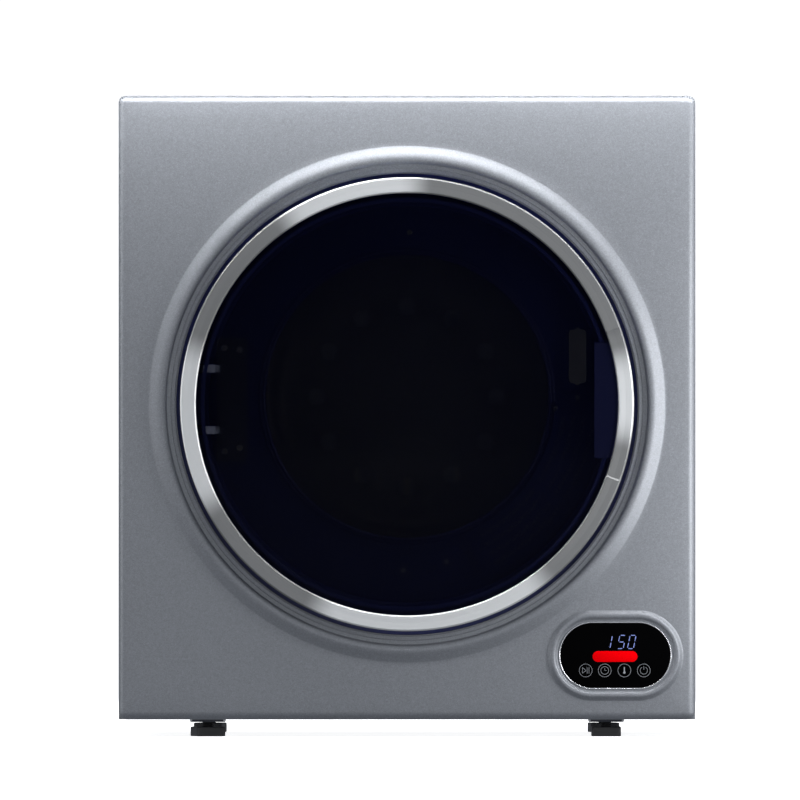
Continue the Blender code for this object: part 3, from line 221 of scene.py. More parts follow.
def across_y(flat: Grid, y: float) -> Grid:
    """Stands a flat outline across Y, at one y.

    Args:
        flat: The x and z of each point.
        y: The depth.

    Returns:
        The xyz of each point.
    """
    return np.column_stack([flat[:, 0], np.full(len(flat), y), flat[:, 1]])


def plate(name: str, outline: Grid, front: float, back: float, edge: float = 0.0) -> bpy.types.Object:
    """Makes a flat plate across Y from an outline, with its front edge eased by a small chamfer.

    Args:
        name: The piece's name.
        outline: The x and z of each corner.
        front: The y of its front face.
        back: The y of its back face.
        edge: The chamfer's size.

    Returns:
        The new object.
    """
    middle = outline.mean(axis=0)
    spread = np.abs(outline - middle).max()
    inner = middle + (outline - middle) * (1 - edge / spread)
    rows = [(outline, front), (outline, back)]
    if edge:
        rows = [(inner, front), (outline, front + edge), (outline, back)]
    points = np.stack([across_y(shape, y) for shape, y in rows])
    return surface(name, points, wrap_rows=False, caps=True)


def ribbon(
    name: str, path: Grid, width: float, front: float, back: float, closed: bool = False
) -> bpy.types.Object:
    """Makes a thin printed line: a band of even width along a path, across Y.

    Each path point p becomes p + w/2 n and p - w/2 n, where n is the path's sideways direction there.

    Args:
        name: The piece's name.
        path: The x and z of the line's points.
        width: The line's width.
        front: The y of its front.
        back: The y of its back.
        closed: Whether the line is a loop.

    Returns:
        The new object.
    """
    ahead, behind = np.roll(path, -1, axis=0), np.roll(path, 1, axis=0)
    if not closed:
        ahead[-1], behind[0] = path[-1], path[0]
    along = ahead - behind
    along /= np.linalg.norm(along, axis=1, keepdims=True)
    side = np.stack([-along[:, 1], along[:, 0]], axis=-1) * width / 2
    ring = [(path + side, front), (path - side, front), (path - side, back), (path + side, back)]
    points = np.stack([across_y(flat, y) for flat, y in ring], axis=1)
    return surface(name, points, wrap_rows=closed, caps=not closed)


def disc_arc(centre: tuple[float, float], radius: float, start: float, end: float, count: int) -> Grid:
    """Gives points on an arc, from one angle in degrees to another."""
    a = np.radians(ramp(start, end, count))
    return np.stack([centre[0] + radius * np.cos(a), centre[1] + radius * np.sin(a)], axis=-1)


def screw_head(
    name: str, place: Vector, radius: float, height: float, facing: float = -1.0
) -> bpy.types.Object:
    """Makes a low domed screw head with a cross recess, standing along Y.

    Its height at radius r is h sqrt(1 - 0.7 (r/R)^2), less 0.6 h where the point lies in one of the cross's
    two bars.

    Args:
        name: The piece's name.
        place: The middle of its seat.
        radius: Its radius R.
        height: Its height h.
        facing: -1 for a head that faces -Y, or 1 for one that faces +Y.

    Returns:
        The new object.
    """
    r = np.concatenate([ramp(0, 0.94, 15), [1.0, 1.0]])[:, None] * radius
    a = turn(48)[None]
    x, z = r * np.cos(a + 0.4), r * np.sin(a + 0.4)
    bar, reach = 0.14 * radius, 0.62 * radius
    upright = (np.abs(x) < bar) & (np.abs(z) < reach)
    level = (np.abs(z) < bar) & (np.abs(x) < reach)
    top = height * np.sqrt(1 - 0.7 * (r / radius) ** 2) - 0.6 * height * (upright | level)
    top[-1] = 0.0
    points = np.stack([place.x + x, place.y + facing * top, place.z + z], axis=-1)
    return surface(name, points, wrap_rows=False, caps=True, sharp=40)


# ---------------------------------------------------------------- shader maths


class Wire:
    """A number carried between nodes. Arithmetic on it adds the Math nodes."""

    def __init__(self, bench: "Bench", socket: bpy.types.NodeSocket) -> None:
        """Wraps an output socket of a bench's tree."""
        self.bench = bench
        self.socket = socket

    def maths(self, operation: str, *values: "float | Wire") -> "Wire":
        """Adds one Math node.

        Args:
            operation: The node's operation.
            values: Its inputs, in order.

        Returns:
            The result.
        """
        return self.bench.node("ShaderNodeMath", {"operation": operation}, dict(enumerate(values)))

    def __add__(self, other: "float | Wire") -> "Wire":
        """Adds."""
        return self.maths("ADD", self, other)

    def __sub__(self, other: "float | Wire") -> "Wire":
        """Subtracts."""
        return self.maths("SUBTRACT", self, other)

    def __rsub__(self, other: "float | Wire") -> "Wire":
        """Subtracts this from a value."""
        return self.maths("SUBTRACT", other, self)

    def __mul__(self, other: "float | Wire") -> "Wire":
        """Multiplies."""
        return self.maths("MULTIPLY", self, other)

    def __truediv__(self, other: "float | Wire") -> "Wire":
        """Divides."""
        return self.maths("DIVIDE", self, other)

    def __pow__(self, other: "float | Wire") -> "Wire":
        """Raises to a power."""
        return self.maths("POWER", self, other)

    __radd__ = __add__
    __rmul__ = __mul__

    def clipped(self) -> "Wire":
        """Gives the value held between 0 and 1."""
        return self.bench.node("ShaderNodeClamp", {}, {"Value": self})

    def fade(self, start: float, end: float) -> "Wire":
        """Gives 0 before start and 1 after end, with a smooth rise between them."""
        settings = {"interpolation_type": "SMOOTHSTEP"}
        inputs = {"Value": self, "From Min": start, "From Max": end}
        return self.bench.node("ShaderNodeMapRange", settings, inputs)


class Bench:
    """One material's node tree, and the way that nodes are added to it."""

    def __init__(self, name: str) -> None:
        """Starts a material that holds one Principled BSDF."""
        self.material = bpy.data.materials.new(name)
        self.material.use_nodes = True
        self.tree = self.material.node_tree
        self.shader = self.tree.nodes["Principled BSDF"]

    def node(
        self, kind: str, settings: dict[str, object], inputs: dict[object, object], output: int | str = 0
    ) -> Wire:
        """Adds a node.

        Args:
            kind: The node's type.
            settings: Its settings, set first. "stops" gives a colour ramp's places and greys or colours.
            inputs: A value or a wire for each input, by name or number.
            output: Which output to hand back.

        Returns:
            The chosen output.
        """
        made = self.tree.nodes.new(kind)
        for key, value in settings.items():
            if key == "stops":
                self.set_stops(made.color_ramp, value)
            else:
                setattr(made, key, value)
        for key, value in inputs.items():
            if isinstance(value, Wire):
                self.tree.links.new(value.socket, made.inputs[key])
            else:
                made.inputs[key].default_value = value
        return Wire(self, made.outputs[output])

    @staticmethod
    def set_stops(band: bpy.types.ColorRamp, stops: list[tuple[float, Colour]]) -> None:
        """Gives a colour ramp its stops.

        Args:
            band: The ramp.
            stops: Each stop's place and colour.
        """
        while len(band.elements) < len(stops):
            band.elements.new(1.0)
        for element, (place, colour) in zip(band.elements, stops):
            element.position = place
            element.color = (*colour, 1.0)

    def places(self) -> Wire:
        """Gives the Object coordinates, in metres."""
        return self.node("ShaderNodeTexCoord", {}, {}, "Object")

    def axes(self, vector: Wire) -> tuple[Wire, Wire, Wire]:
        """Splits a vector into its x, y and z."""
        x = self.node("ShaderNodeSeparateXYZ", {}, {0: vector}, "X")
        outputs = x.socket.node.outputs
        return x, Wire(self, outputs["Y"]), Wire(self, outputs["Z"])

    def stretched(self, vector: Wire, scale: Colour) -> Wire:
        """Scales a vector by a number for each axis."""
        return self.node("ShaderNodeVectorMath", {"operation": "MULTIPLY"}, {0: vector, 1: scale})

    def noise(self, vector: Wire, scale: float, detail: float = 2.0) -> Wire:
        """Gives soft noise from 0 to 1, with about this many features for each metre."""
        return self.node("ShaderNodeTexNoise", {}, {"Vector": vector, "Scale": scale, "Detail": detail})

    def blend(self, share: Wire, first: Colour | Wire, second: Colour | Wire) -> Wire:
        """Mixes two colours.

        Args:
            share: How much of the second, from 0 to 1.
            first: The colour at 0.
            second: The colour at 1.

        Returns:
            The mixed colour.
        """
        ends = [c if isinstance(c, Wire) else (*c, 1.0) for c in (first, second)]
        settings = {"data_type": "RGBA", "blend_type": "MIX"}
        return self.node("ShaderNodeMix", settings, {0: share, 6: ends[0], 7: ends[1]}, 2)

    def bump(self, height: Wire, strength: float, distance: float) -> Wire:
        """Turns a height from 0 to 1 into a normal, at this distance in metres."""
        inputs = {"Height": height, "Strength": strength, "Distance": distance}
        return self.node("ShaderNodeBump", {}, inputs, "Normal")

    def feed(self, **values: "float | tuple | Wire") -> None:
        """Sets or links the shader's sockets, named with _ for each space."""
        for key, value in values.items():
            socket = self.shader.inputs[key.replace("_", " ")]
            if isinstance(value, Wire):
                self.tree.links.new(value.socket, socket)
            else:
                socket.default_value = value


def scaled(colour: Colour, factor: float) -> Colour:
    """Gives a colour made lighter or darker."""
    return tuple(min(1.0, channel * factor) for channel in colour)


@dataclass(frozen=True)
class Finish:
    """A finish with a fine grain: colour and roughness drift, and the grain stands up a little.

    Attributes:
        name: The material's name.
        colour: Its colour, in linear light.
        roughness: Its mean roughness.
        metallic: 1 for bare metal.
        spread: How far the colour drifts, as a share.
        grain: Features of the grain for each metre.
        relief: The grain's height in metres.
        specular: The shader's specular level.
    """

    name: str
    colour: Colour
    roughness: float
    metallic: float = 0.0
    spread: float = 0.12
    grain: float = 900.0
    relief: float = 0.00003
    specular: float = 0.5

    def build(self) -> bpy.types.Material:
        """Makes the material."""
        bench = Bench(self.name)
        self.dress(bench, bench.places())
        return bench.material

    def dress(self, bench: Bench, place: Wire) -> None:
        """Feeds the shader.

        Args:
            bench: The material's bench.
            place: The object coordinates.
        """
        fine = bench.noise(place, self.grain)
        broad = bench.noise(place, 9.0, 3.0)
        drift = fine * 0.6 + broad * 0.4
        low, high = scaled(self.colour, 1 - self.spread), scaled(self.colour, 1 + self.spread)
        bench.feed(
            Base_Color=bench.blend(drift, low, high),
            Roughness=(broad - 0.5) * 0.12 + self.roughness,
            Metallic=self.metallic,
            Specular_IOR_Level=self.specular,
            Normal=bench.bump(fine, 0.6, self.relief),
        )


@dataclass(frozen=True)
class MetallicPaint(Finish):
    """Silver paint with fine flakes under a thin satin clear coat."""

    flake: float = 1500.0

    def dress(self, bench: Bench, place: Wire) -> None:
        """Feeds the shader with flakes of mixed tone, a few of them bright.

        Args:
            bench: The material's bench.
            place: The object coordinates.
        """
        flakes = bench.node("ShaderNodeTexVoronoi", {}, {"Vector": place, "Scale": self.flake}, "Color")
        tone = bench.axes(flakes)[0]
        soft = bench.noise(place, 420.0, 3.0)
        cloud = bench.noise(place, 3.5, 2.0)
        glints = tone.fade(0.93, 1.0)
        share = (tone * 0.42 + soft * 0.58 + (cloud - 0.5) * 0.25 + glints * 0.2).clipped()
        low, high = scaled(self.colour, 1 - self.spread), scaled(self.colour, 1 + self.spread)
        bench.feed(
            Base_Color=bench.blend(share, low, high),
            Roughness=(soft - 0.5) * 0.16 + self.roughness,
            Metallic=self.metallic,
            Coat_Weight=0.10,
            Coat_Roughness=0.35,
            Normal=bench.bump(tone * 0.5 + soft * 0.5, 0.5, self.relief),
        )


@dataclass(frozen=True)
class SpunMetal(Finish):
    """Metal turned on a lathe: fine rings about an axis along Y, and painted highlights that lighten its
    colour in a few arcs.

    Attributes:
        centre: A point on the axis.
        highlight_sectors: The middle of each painted highlight sector and half of its angle, in degrees from
            +X.
        fringe: The angle over which a sector fades, in degrees.
    """

    centre: Colour = (0.0, 0.0, 0.0)
    highlight_sectors: tuple[tuple[float, float], ...] = ()
    fringe: float = 5.0

    def dress(self, bench: Bench, place: Wire) -> None:
        """Feeds the shader with rings and with painted highlights, which lighten the colour in arcs about the
        axis.

        A sector is where the cosine of the angle from its middle is above the cosine of half its width.

        Args:
            bench: The material's bench.
            place: The object coordinates.
        """
        offset = bench.node("ShaderNodeVectorMath", {"operation": "SUBTRACT"}, {0: place, 1: self.centre})
        x, _, z = bench.axes(offset)
        radius = (x * x + z * z) ** 0.5
        along_radius = bench.node("ShaderNodeCombineXYZ", {}, {"X": radius, "Y": 0.0, "Z": 0.0})
        rings = bench.noise(along_radius, 2600.0, 3.0)
        fine = bench.noise(place, self.grain)
        # Painted highlights: inside each arc the base colour is made lighter, in place of real reflections.
        bright = rings * 0.12
        for middle, half in self.highlight_sectors:
            turn = math.radians(middle)
            near = (x * math.cos(turn) + z * math.sin(turn)) / radius
            edges = [math.cos(math.radians(half + fringe)) for fringe in (self.fringe, -self.fringe)]
            bright = bright + near.fade(*edges) * 0.85
        share = bright.clipped()
        low, high = scaled(self.colour, 1 - self.spread), scaled(self.colour, 1 + self.spread)
        bench.feed(
            Base_Color=bench.blend(share, low, high),
            Roughness=rings * 0.1 + self.roughness,
            Metallic=self.metallic,
            Normal=bench.bump(rings * 0.7 + fine * 0.3, 0.35, self.relief),
        )


@dataclass(frozen=True)
class SmokedGlass(Finish):
    """Dark see-through glass or clear plastic, with faint streaks of handling."""

    alpha: float = 0.8

    def dress(self, bench: Bench, place: Wire) -> None:
        """Feeds the shader with a smooth dark body that lets part of the light through.

        Args:
            bench: The material's bench.
            place: The object coordinates.
        """
        smear = bench.noise(bench.stretched(place, (1.0, 1.0, 0.35)), 22.0, 3.0)
        low, high = scaled(self.colour, 0.85), scaled(self.colour, 1.15)
        bench.feed(
            Base_Color=bench.blend(smear, low, high),
            Roughness=smear * 0.03 + self.roughness,
            Specular_IOR_Level=self.specular,
            Alpha=self.alpha,
        )


@dataclass(frozen=True)
class Glow(Finish):
    """A lit segment that shines evenly, or a printed mark given a painted glow that shines evenly."""

    strength: float = 1.0

    def dress(self, bench: Bench, place: Wire) -> None:
        """Feeds the shader with a colour that both reflects and shines.

        Args:
            bench: The material's bench.
            place: The object coordinates.
        """
        fine = bench.noise(place, self.grain)
        colour = bench.blend(fine, scaled(self.colour, 0.9), scaled(self.colour, 1.1))
        bench.feed(
            Base_Color=colour,
            Roughness=self.roughness,
            Specular_IOR_Level=self.specular,
            Emission_Color=colour,
            Emission_Strength=self.strength,
        )


@dataclass(frozen=True)
class RolledSheet(Finish):
    """Bare sheet with streaks from rolling, which run along Y."""

    def dress(self, bench: Bench, place: Wire) -> None:
        """Feeds the shader with long streaks and a fine grain.

        Args:
            bench: The material's bench.
            place: The object coordinates.
        """
        streaks = bench.noise(bench.stretched(place, (1.0, 0.04, 1.0)), 700.0, 3.0)
        fine = bench.noise(place, self.grain)
        share = streaks * 0.6 + fine * 0.4
        low, high = scaled(self.colour, 1 - self.spread), scaled(self.colour, 1 + self.spread)
        bench.feed(
            Base_Color=bench.blend(share, low, high),
            Roughness=streaks * 0.15 + self.roughness,
            Metallic=self.metallic,
            Normal=bench.bump(share, 0.5, self.relief),
        )


class Finishes(Enum):
    """The finishes that pieces choose from."""

    SILVER = MetallicPaint(
        "silver_paint", (0.205, 0.217, 0.238), 0.52, metallic=0.50, spread=0.28, relief=0.00004
    )
    ZINC = Finish(
        "zinc_coat", (0.42, 0.43, 0.45), 0.38, metallic=0.9, spread=0.25, grain=140.0, relief=0.00002
    )
    STEEL = Finish("machined_steel", (0.50, 0.50, 0.52), 0.26, metallic=1.0, spread=0.15, grain=1800.0)
    DARK_STEEL = Finish("dark_hinge_steel", (0.10, 0.11, 0.16), 0.30, metallic=0.9, spread=0.2, grain=1200.0)
    NAVY = Finish("navy_moulding", (0.018, 0.028, 0.170), 0.40, spread=0.15, grain=1600.0, specular=0.35)
    NAVY_PALE = Finish("navy_pale", (0.034, 0.042, 0.180), 0.44, spread=0.15, grain=1600.0, specular=0.35)
    BLACK = Finish("black_moulding", (0.012, 0.012, 0.014), 0.46, spread=0.25, grain=1400.0, relief=0.00006)
    BLUE_BLACK = Finish("foot_plate_paint", (0.016, 0.020, 0.034), 0.40, spread=0.25, grain=900.0)
    GREY = Finish("grey_moulding", (0.22, 0.23, 0.25), 0.50, spread=0.12, grain=1200.0, relief=0.00006)
    RUBBER = Finish(
        "rubber", (0.020, 0.020, 0.023), 0.78, spread=0.3, grain=700.0, relief=0.00010, specular=0.3
    )
    FELT = Finish("felt", (0.34, 0.31, 0.26), 0.96, spread=0.35, grain=1900.0, relief=0.0004, specular=0.1)
    BOARD = Finish("board_mask", (0.012, 0.10, 0.04), 0.42, spread=0.35, grain=260.0)
    FINS = Finish("heater_fins", (0.55, 0.52, 0.46), 0.42, metallic=0.8, spread=0.2, grain=500.0)
    MOTOR = Finish("motor_enamel", (0.028, 0.028, 0.031), 0.42, metallic=0.3, spread=0.3, grain=800.0)
    GLASS = SmokedGlass("smoked_door_glass", (0.0003, 0.0004, 0.0022), 0.045, specular=0.01, alpha=0.50)
    BOWL = SmokedGlass("clear_bowl_moulding", (0.001, 0.0015, 0.010), 0.12, specular=0.10, alpha=0.22)
    LENS = Finish(
        "lens_black", (0.0012, 0.0012, 0.0014), 0.12, spread=0.2, grain=400.0, relief=0.0, specular=0.0
    )
    BRIGHT = Finish("bright_line", (0.72, 0.73, 0.76), 0.22, metallic=0.85, spread=0.06)
    DRUM = RolledSheet("drum_sheet", (0.24, 0.245, 0.265), 0.30, metallic=1.0, spread=0.16, relief=0.00003)
    DIGIT = Glow("digit_light", (0.20, 0.25, 0.55), 0.5, strength=0.22, specular=0.0)
    RED = Glow("red_strip", (0.66, 0.0, 0.002), 0.5, strength=0.20, specular=0.0)
    # Painted glow: grey print that also emits light, though it is no lamp.
    MARK = Glow("grey_print_painted_glow", (0.20, 0.21, 0.23), 0.5, strength=0.40, specular=0.0)

    def material(self) -> bpy.types.Material:
        """Gives this finish's material, which is made once."""
        return bpy.data.materials.get(self.value.name) or self.value.build()


def fit(
    piece: bpy.types.Object, finish: Finishes | bpy.types.Material, body: str
) -> bpy.types.Object:
    """Dresses a new piece and hangs it on its body.

    Args:
        piece: The piece.
        finish: Its finish, or a material of its own.
        body: The body that it rides on.

    Returns:
        The piece.
    """
    material = finish.material() if isinstance(finish, Finishes) else finish
    piece.data.materials.clear()
    piece.data.materials.append(material)
    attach(piece, body)
    LOG.info("%s rides on %s", piece.name, body)
    return piece


def redress(finish: Finishes, *nodes: str) -> None:
    """Gives CAD nodes a finish and leaves their shape as it is."""
    for node in nodes:
        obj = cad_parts[node]
        obj.data.materials.clear()
        obj.data.materials.append(finish.material())


# ---------------------------------------------------------------- places read from the frame


@dataclass(frozen=True)
class Datum:
    """Places that several sub-assemblies share, read from the frame's nodes.

    Attributes:
        front: The y of the front panel's flat face.
        door: The door's centre.
        ring: The door ring's outer radius.
        mouth: The drum mouth's centre.
        rim: The drum mouth's radius.
        low: The cabinet's lowest corner.
        high: The cabinet's highest corner.
    """

    front: float
    door: Vector
    ring: float
    mouth: Vector
    rim: float
    low: Vector
    high: Vector

    @classmethod
    def read(cls) -> "Datum":
        """Measures the frame."""
        ring_low, ring_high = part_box("door_ring")
        panel_low, panel_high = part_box("front_panel")
        drum_low, drum_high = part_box("drum_shell")
        rear_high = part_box("rear_panel")[1]
        felt_low, felt_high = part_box("drum_felt_ring")
        return cls(
            front=panel_high.y - FLANGE,
            door=(ring_low + ring_high) / 2,
            ring=(ring_high.x - ring_low.x) / 2,
            mouth=(drum_low + drum_high) / 2,
            rim=(felt_high.x - felt_low.x) / 2 - FELT_REACH,
            low=panel_low,
            high=Vector((panel_high.x, rear_high.y, panel_high.z)),
        )

    def deep(self, millimetres: float) -> float:
        """Gives the y at a depth behind the front panel's face."""
        return self.front + millimetres * MM


# ---------------------------------------------------------------- cabinet


@dataclass
class Cabinet:
    """The painted casing: the pressed front, the sides and the top.

    Attributes:
        datum: The shared places.
        sheet: The sheet's thickness.
        corner: The radius of the front's corners.
        edge: The radius between the front and its sides.
        flange: How far the front's sides reach back.
        opening_gap: From the door's ring to the opening's lip.
        step_width: The width of one step round the opening.
        step_depth: The height of one step.
        bead_width: The raised bead's width.
        bead_height: The raised bead's height.
    """

    datum: Datum
    sheet: float = 0.8 * MM
    corner: float = 8 * MM
    edge: float = 8 * MM
    flange: float = FLANGE
    opening_gap: float = 4 * MM
    step_width: float = 4.4 * MM
    step_depth: float = 1.3 * MM
    bead_width: float = 19 * MM
    bead_height: float = 5.5 * MM

    def border(self) -> tuple[Grid, Grid]:
        """Gives the front's border as a spine and outward directions.

        The outline at an inset i is spine + (corner - i) * direction. Along a straight side the spine runs
        beside the side and the direction stays square to it. At a corner the spine stays at its centre.
        """
        low, high, c = self.datum.low, self.datum.high, self.corner
        arc = np.radians(ramp(0, 90, 9))
        corners = [
            (high.x - c, low.z + c, -90),
            (high.x - c, high.z - c, 0),
            (low.x + c, high.z - c, 90),
            (low.x + c, low.z + c, 180),
        ]
        spines, directions = [], []
        for i, (x, z, start) in enumerate(corners):
            a = arc + math.radians(start)
            spines.append(np.column_stack([np.full(9, x), np.full(9, z)]))
            directions.append(np.stack([np.cos(a), np.sin(a)], axis=-1))
            after = corners[(i + 1) % 4]
            share = ramp(0, 1, 122)[1:-1, None]
            spines.append((1 - share) * [x, z] + share * [after[0], after[1]])
            directions.append(np.tile(directions[-1][-1], (120, 1)))
        return np.concatenate(spines), np.concatenate(directions)

    def front(self) -> None:
        """Makes the front: a polar sheet about the door, from the lip over steps and bead to the flange.

        A row nearer the door is a circle of radius r about the door's centre. A row at the border is an
        outline at an inset i. The rows run out over the outer face and come back over the inner one.
        """
        d = self.datum
        spine, direction = self.border()
        edge_line = spine + (self.corner - self.edge) * direction
        centre = np.array([d.door.x, d.door.z])
        away = edge_line - centre
        ray = away / np.linalg.norm(away, axis=1, keepdims=True)
        opening = d.ring + self.opening_gap
        groove = opening + 10 * MM
        t = self.sheet
        share = ramp(0, 1, 33)
        wave = np.sin(math.pi * share**0.55)
        bead = np.column_stack([groove + self.bead_width * share, -self.bead_height * wave**1.15])
        step, drop = self.step_width, self.step_depth
        stairs = softened(
            [
                (opening, 17.7 * MM),
                (opening, 3 * drop),
                (opening + 1.4 * MM, 3 * drop),
                (opening + 1.4 * MM, 2 * drop),
                (groove - step, 2 * drop),
                (groove - step, drop),
                (groove, drop),
                (groove, 0.1 * MM),
            ],
            0.35 * MM,
            3,
        )[1:-2]
        stairs = np.concatenate([[[opening, 17.7 * MM]], stairs[3:]])
        outer = np.concatenate([stairs, bead])
        inner = np.column_stack([outer[:, 0] + t * 0.8, outer[:, 1] + t])[::-1]
        inner[-1] = (opening + t, 17.7 * MM)
        arc = ramp(0, math.pi / 2, 8)
        turned = np.column_stack([self.edge * (1 - np.sin(arc)), self.edge * (1 - np.cos(arc))])
        bend = self.edge - t
        inner_arc = np.column_stack([t + bend * (1 - np.sin(arc)), t + bend * (1 - np.cos(arc))])
        border_rows = np.concatenate([turned, [[0, self.flange], [t, self.flange]], inner_arc[::-1]])
        border = spine + (self.corner - border_rows[:, :1, None]) * direction
        first = centre + outer[:, :1, None] * ray[None]
        last = centre + inner[:, :1, None] * ray[None]
        flat_share = np.array([0.1, 0.4, 0.8])[:, None, None]
        flat = (1 - flat_share) * first[-1] + flat_share * edge_line
        depth = [outer[:, 1], np.zeros(3), border_rows[:, 1], np.full(3, t), inner[:, 1]]
        plan = np.concatenate([first, flat, border, flat[::-1], last])
        y = d.front + np.concatenate(depth)
        points = np.stack([plan[..., 0], np.broadcast_to(y[:, None], plan.shape[:2]), plan[..., 1]], axis=-1)
        piece = surface("front_shell", points, sharp=50)
        fit(piece, Finishes.SILVER, "cabinet")
        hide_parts("front_panel")

    def dress(self) -> None:
        """Makes the front and paints the casing's other sheets."""
        self.front()
        redress(Finishes.SILVER, "left_side_panel", "right_side_panel", "top_panel")
        redress(Finishes.ZINC, "base_pan", "rear_brace", "rear_panel")


# ---------------------------------------------------------------- door


@dataclass
class Door:
    """The round door: trim ring, dark domed glass, inner bowl, grip cup and striker.

    Attributes:
        datum: The shared places.
        width: The ring's width.
        grip_angle: Half of the angle between the creases beside the grip.
        grip_dip: How far the ring dips between them.
        bevel: The ring's bevel.
    """

    datum: Datum
    width: float = 16.5 * MM
    grip_angle: float = math.radians(20)
    grip_dip: float = 2.2 * MM
    bevel: float = 1.5 * MM

    def ring(self) -> None:
        """Makes the ring: a rounded section carried round the door, which dips between two radial creases.

        At the angle a from the grip's middle the whole face moves back by dip (1 - 0.35 (a/g)^2) inside the
        creases and by 0 outside them, where g is half of the angle between the creases.
        """
        d = self.datum
        outer, inner = d.ring, d.ring - self.width
        b = self.bevel
        section = softened(
            [
                (outer, -4.0 * MM),
                (outer, -14 * MM + b),
                (outer - b, -14 * MM),
                (outer - 3.2 * b, -13.8 * MM),
                ((outer + inner) / 2, -13.6 * MM),
                (inner + 3.2 * b, -13.8 * MM),
                (inner + b, -14 * MM),
                (inner, -14 * MM + b),
                (inner, -11.2 * MM),
                (inner + 4 * MM, -11.8 * MM),
                (outer - 5 * MM, -12.0 * MM),
                (outer - 1.6 * MM, -11.2 * MM),
                (outer - 1.6 * MM, -4.0 * MM),
            ],
            0.45 * MM,
            3,
        )
        angles = turn(720)
        off = (angles + math.pi) % (2 * math.pi) - math.pi
        crease = math.radians(0.45)
        inside = np.clip((self.grip_angle - np.abs(off)) / crease, 0, 1)
        dip = self.grip_dip * inside * (1 - 0.35 * (off / self.grip_angle) ** 2)
        share = np.clip((-11.0 * MM - section[:, 1:]) / (0.4 * MM), 0, 1)
        skirt = (section[:, 1:] > -9 * MM) * inside * 4 * MM
        r = np.broadcast_to(section[:, :1], (len(section), 720))
        y = d.front + section[:, 1:] + share * dip - skirt
        points = np.stack([d.door.x + r * np.cos(angles), y, d.door.z + r * np.sin(angles)], axis=-1)
        piece = surface("trim_ring", points, sharp=28)
        centre = (d.door.x, 0.0, d.door.z)
        # Painted highlights: four arcs of the ring are made lighter in colour, in place of reflections.
        highlight_sectors = ((2, 9), (105, 17), (186, 20), (277, 30))
        metal = SpunMetal(
            "spun_trim_painted_highlights", (0.40, 0.41, 0.415), 0.34, metallic=0.6, spread=0.62, centre=centre, highlight_sectors=highlight_sectors
        )
        fit(piece, metal.build(), "door")
        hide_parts("door_ring")

    def glass(self) -> None:
        """Makes the domed glass, whose front at radius r stands 12 + 8 (1 - (r/R)^2) mm proud."""
        d = self.datum
        radius = d.ring - self.width - 0.5 * MM
        r = radius * np.sin(ramp(0, math.pi / 2, 40))
        front = -(12 + 8 * (1 - (r / radius) ** 2)) * MM
        back = front[::-1] + 3 * MM
        profile = np.column_stack([np.concatenate([r, r[::-1]]), d.front + np.concatenate([front, back])])
        piece = lathe("domed_glass", profile, d.door, 256)
        fit(piece, Finishes.GLASS, "door")
        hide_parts("door_glass")

    def bowl(self) -> None:
        """Makes the clear bowl.

        Its rows are circles whose centre moves from the door's to the mouth's as the flange turns inwards.
        The section is given as (radius less the mouth's, depth) and is rounded at its corners.
        """
        d = self.datum
        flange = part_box("door_frame")[1].x - 23.6 * MM
        spread = (flange - d.rim) / MM
        table = [
            (-50, 36.5),
            (-24, 32.0),
            (-12, 23.0),
            (-8, 12.5),
            (1, 6.5),
            (spread, 6.5),
            (spread, 9.0),
            (2.5, 9.0),
            (-5.5, 14.0),
            (-9, 24.0),
            (-21, 34.0),
            (-49, 39.0),
        ]
        wall = [(d.rim + r * MM, f * MM) for r, f in table]
        rows = softened(wall + [(0.0, 40.2 * MM), (0.0, 37.7 * MM)], 6 * MM, 6)
        share = np.clip((flange - rows[:, 0]) / (flange - d.rim - 2 * MM), 0, 1)
        a = turn(256)
        z = d.door.z + share * (d.mouth.z - d.door.z)
        r = rows[:, :1]
        y = np.broadcast_to(d.front + rows[:, 1:], (len(rows), 256))
        points = np.stack([d.door.x + r * np.cos(a), y, z[:, None] + r * np.sin(a)], axis=-1)
        piece = surface("inner_bowl", points, sharp=60)
        fit(piece, Finishes.BOWL, "door")
        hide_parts("door_bowl")

    def dress(self) -> None:
        """Makes the door's fine pieces and dresses the rest."""
        self.ring()
        self.glass()
        self.bowl()
        redress(Finishes.NAVY, "door_frame")
        redress(Finishes.NAVY_PALE, "handle_cup")
        redress(Finishes.STEEL, "hinge_pin", "door_striker")


# ---------------------------------------------------------------- inside the door


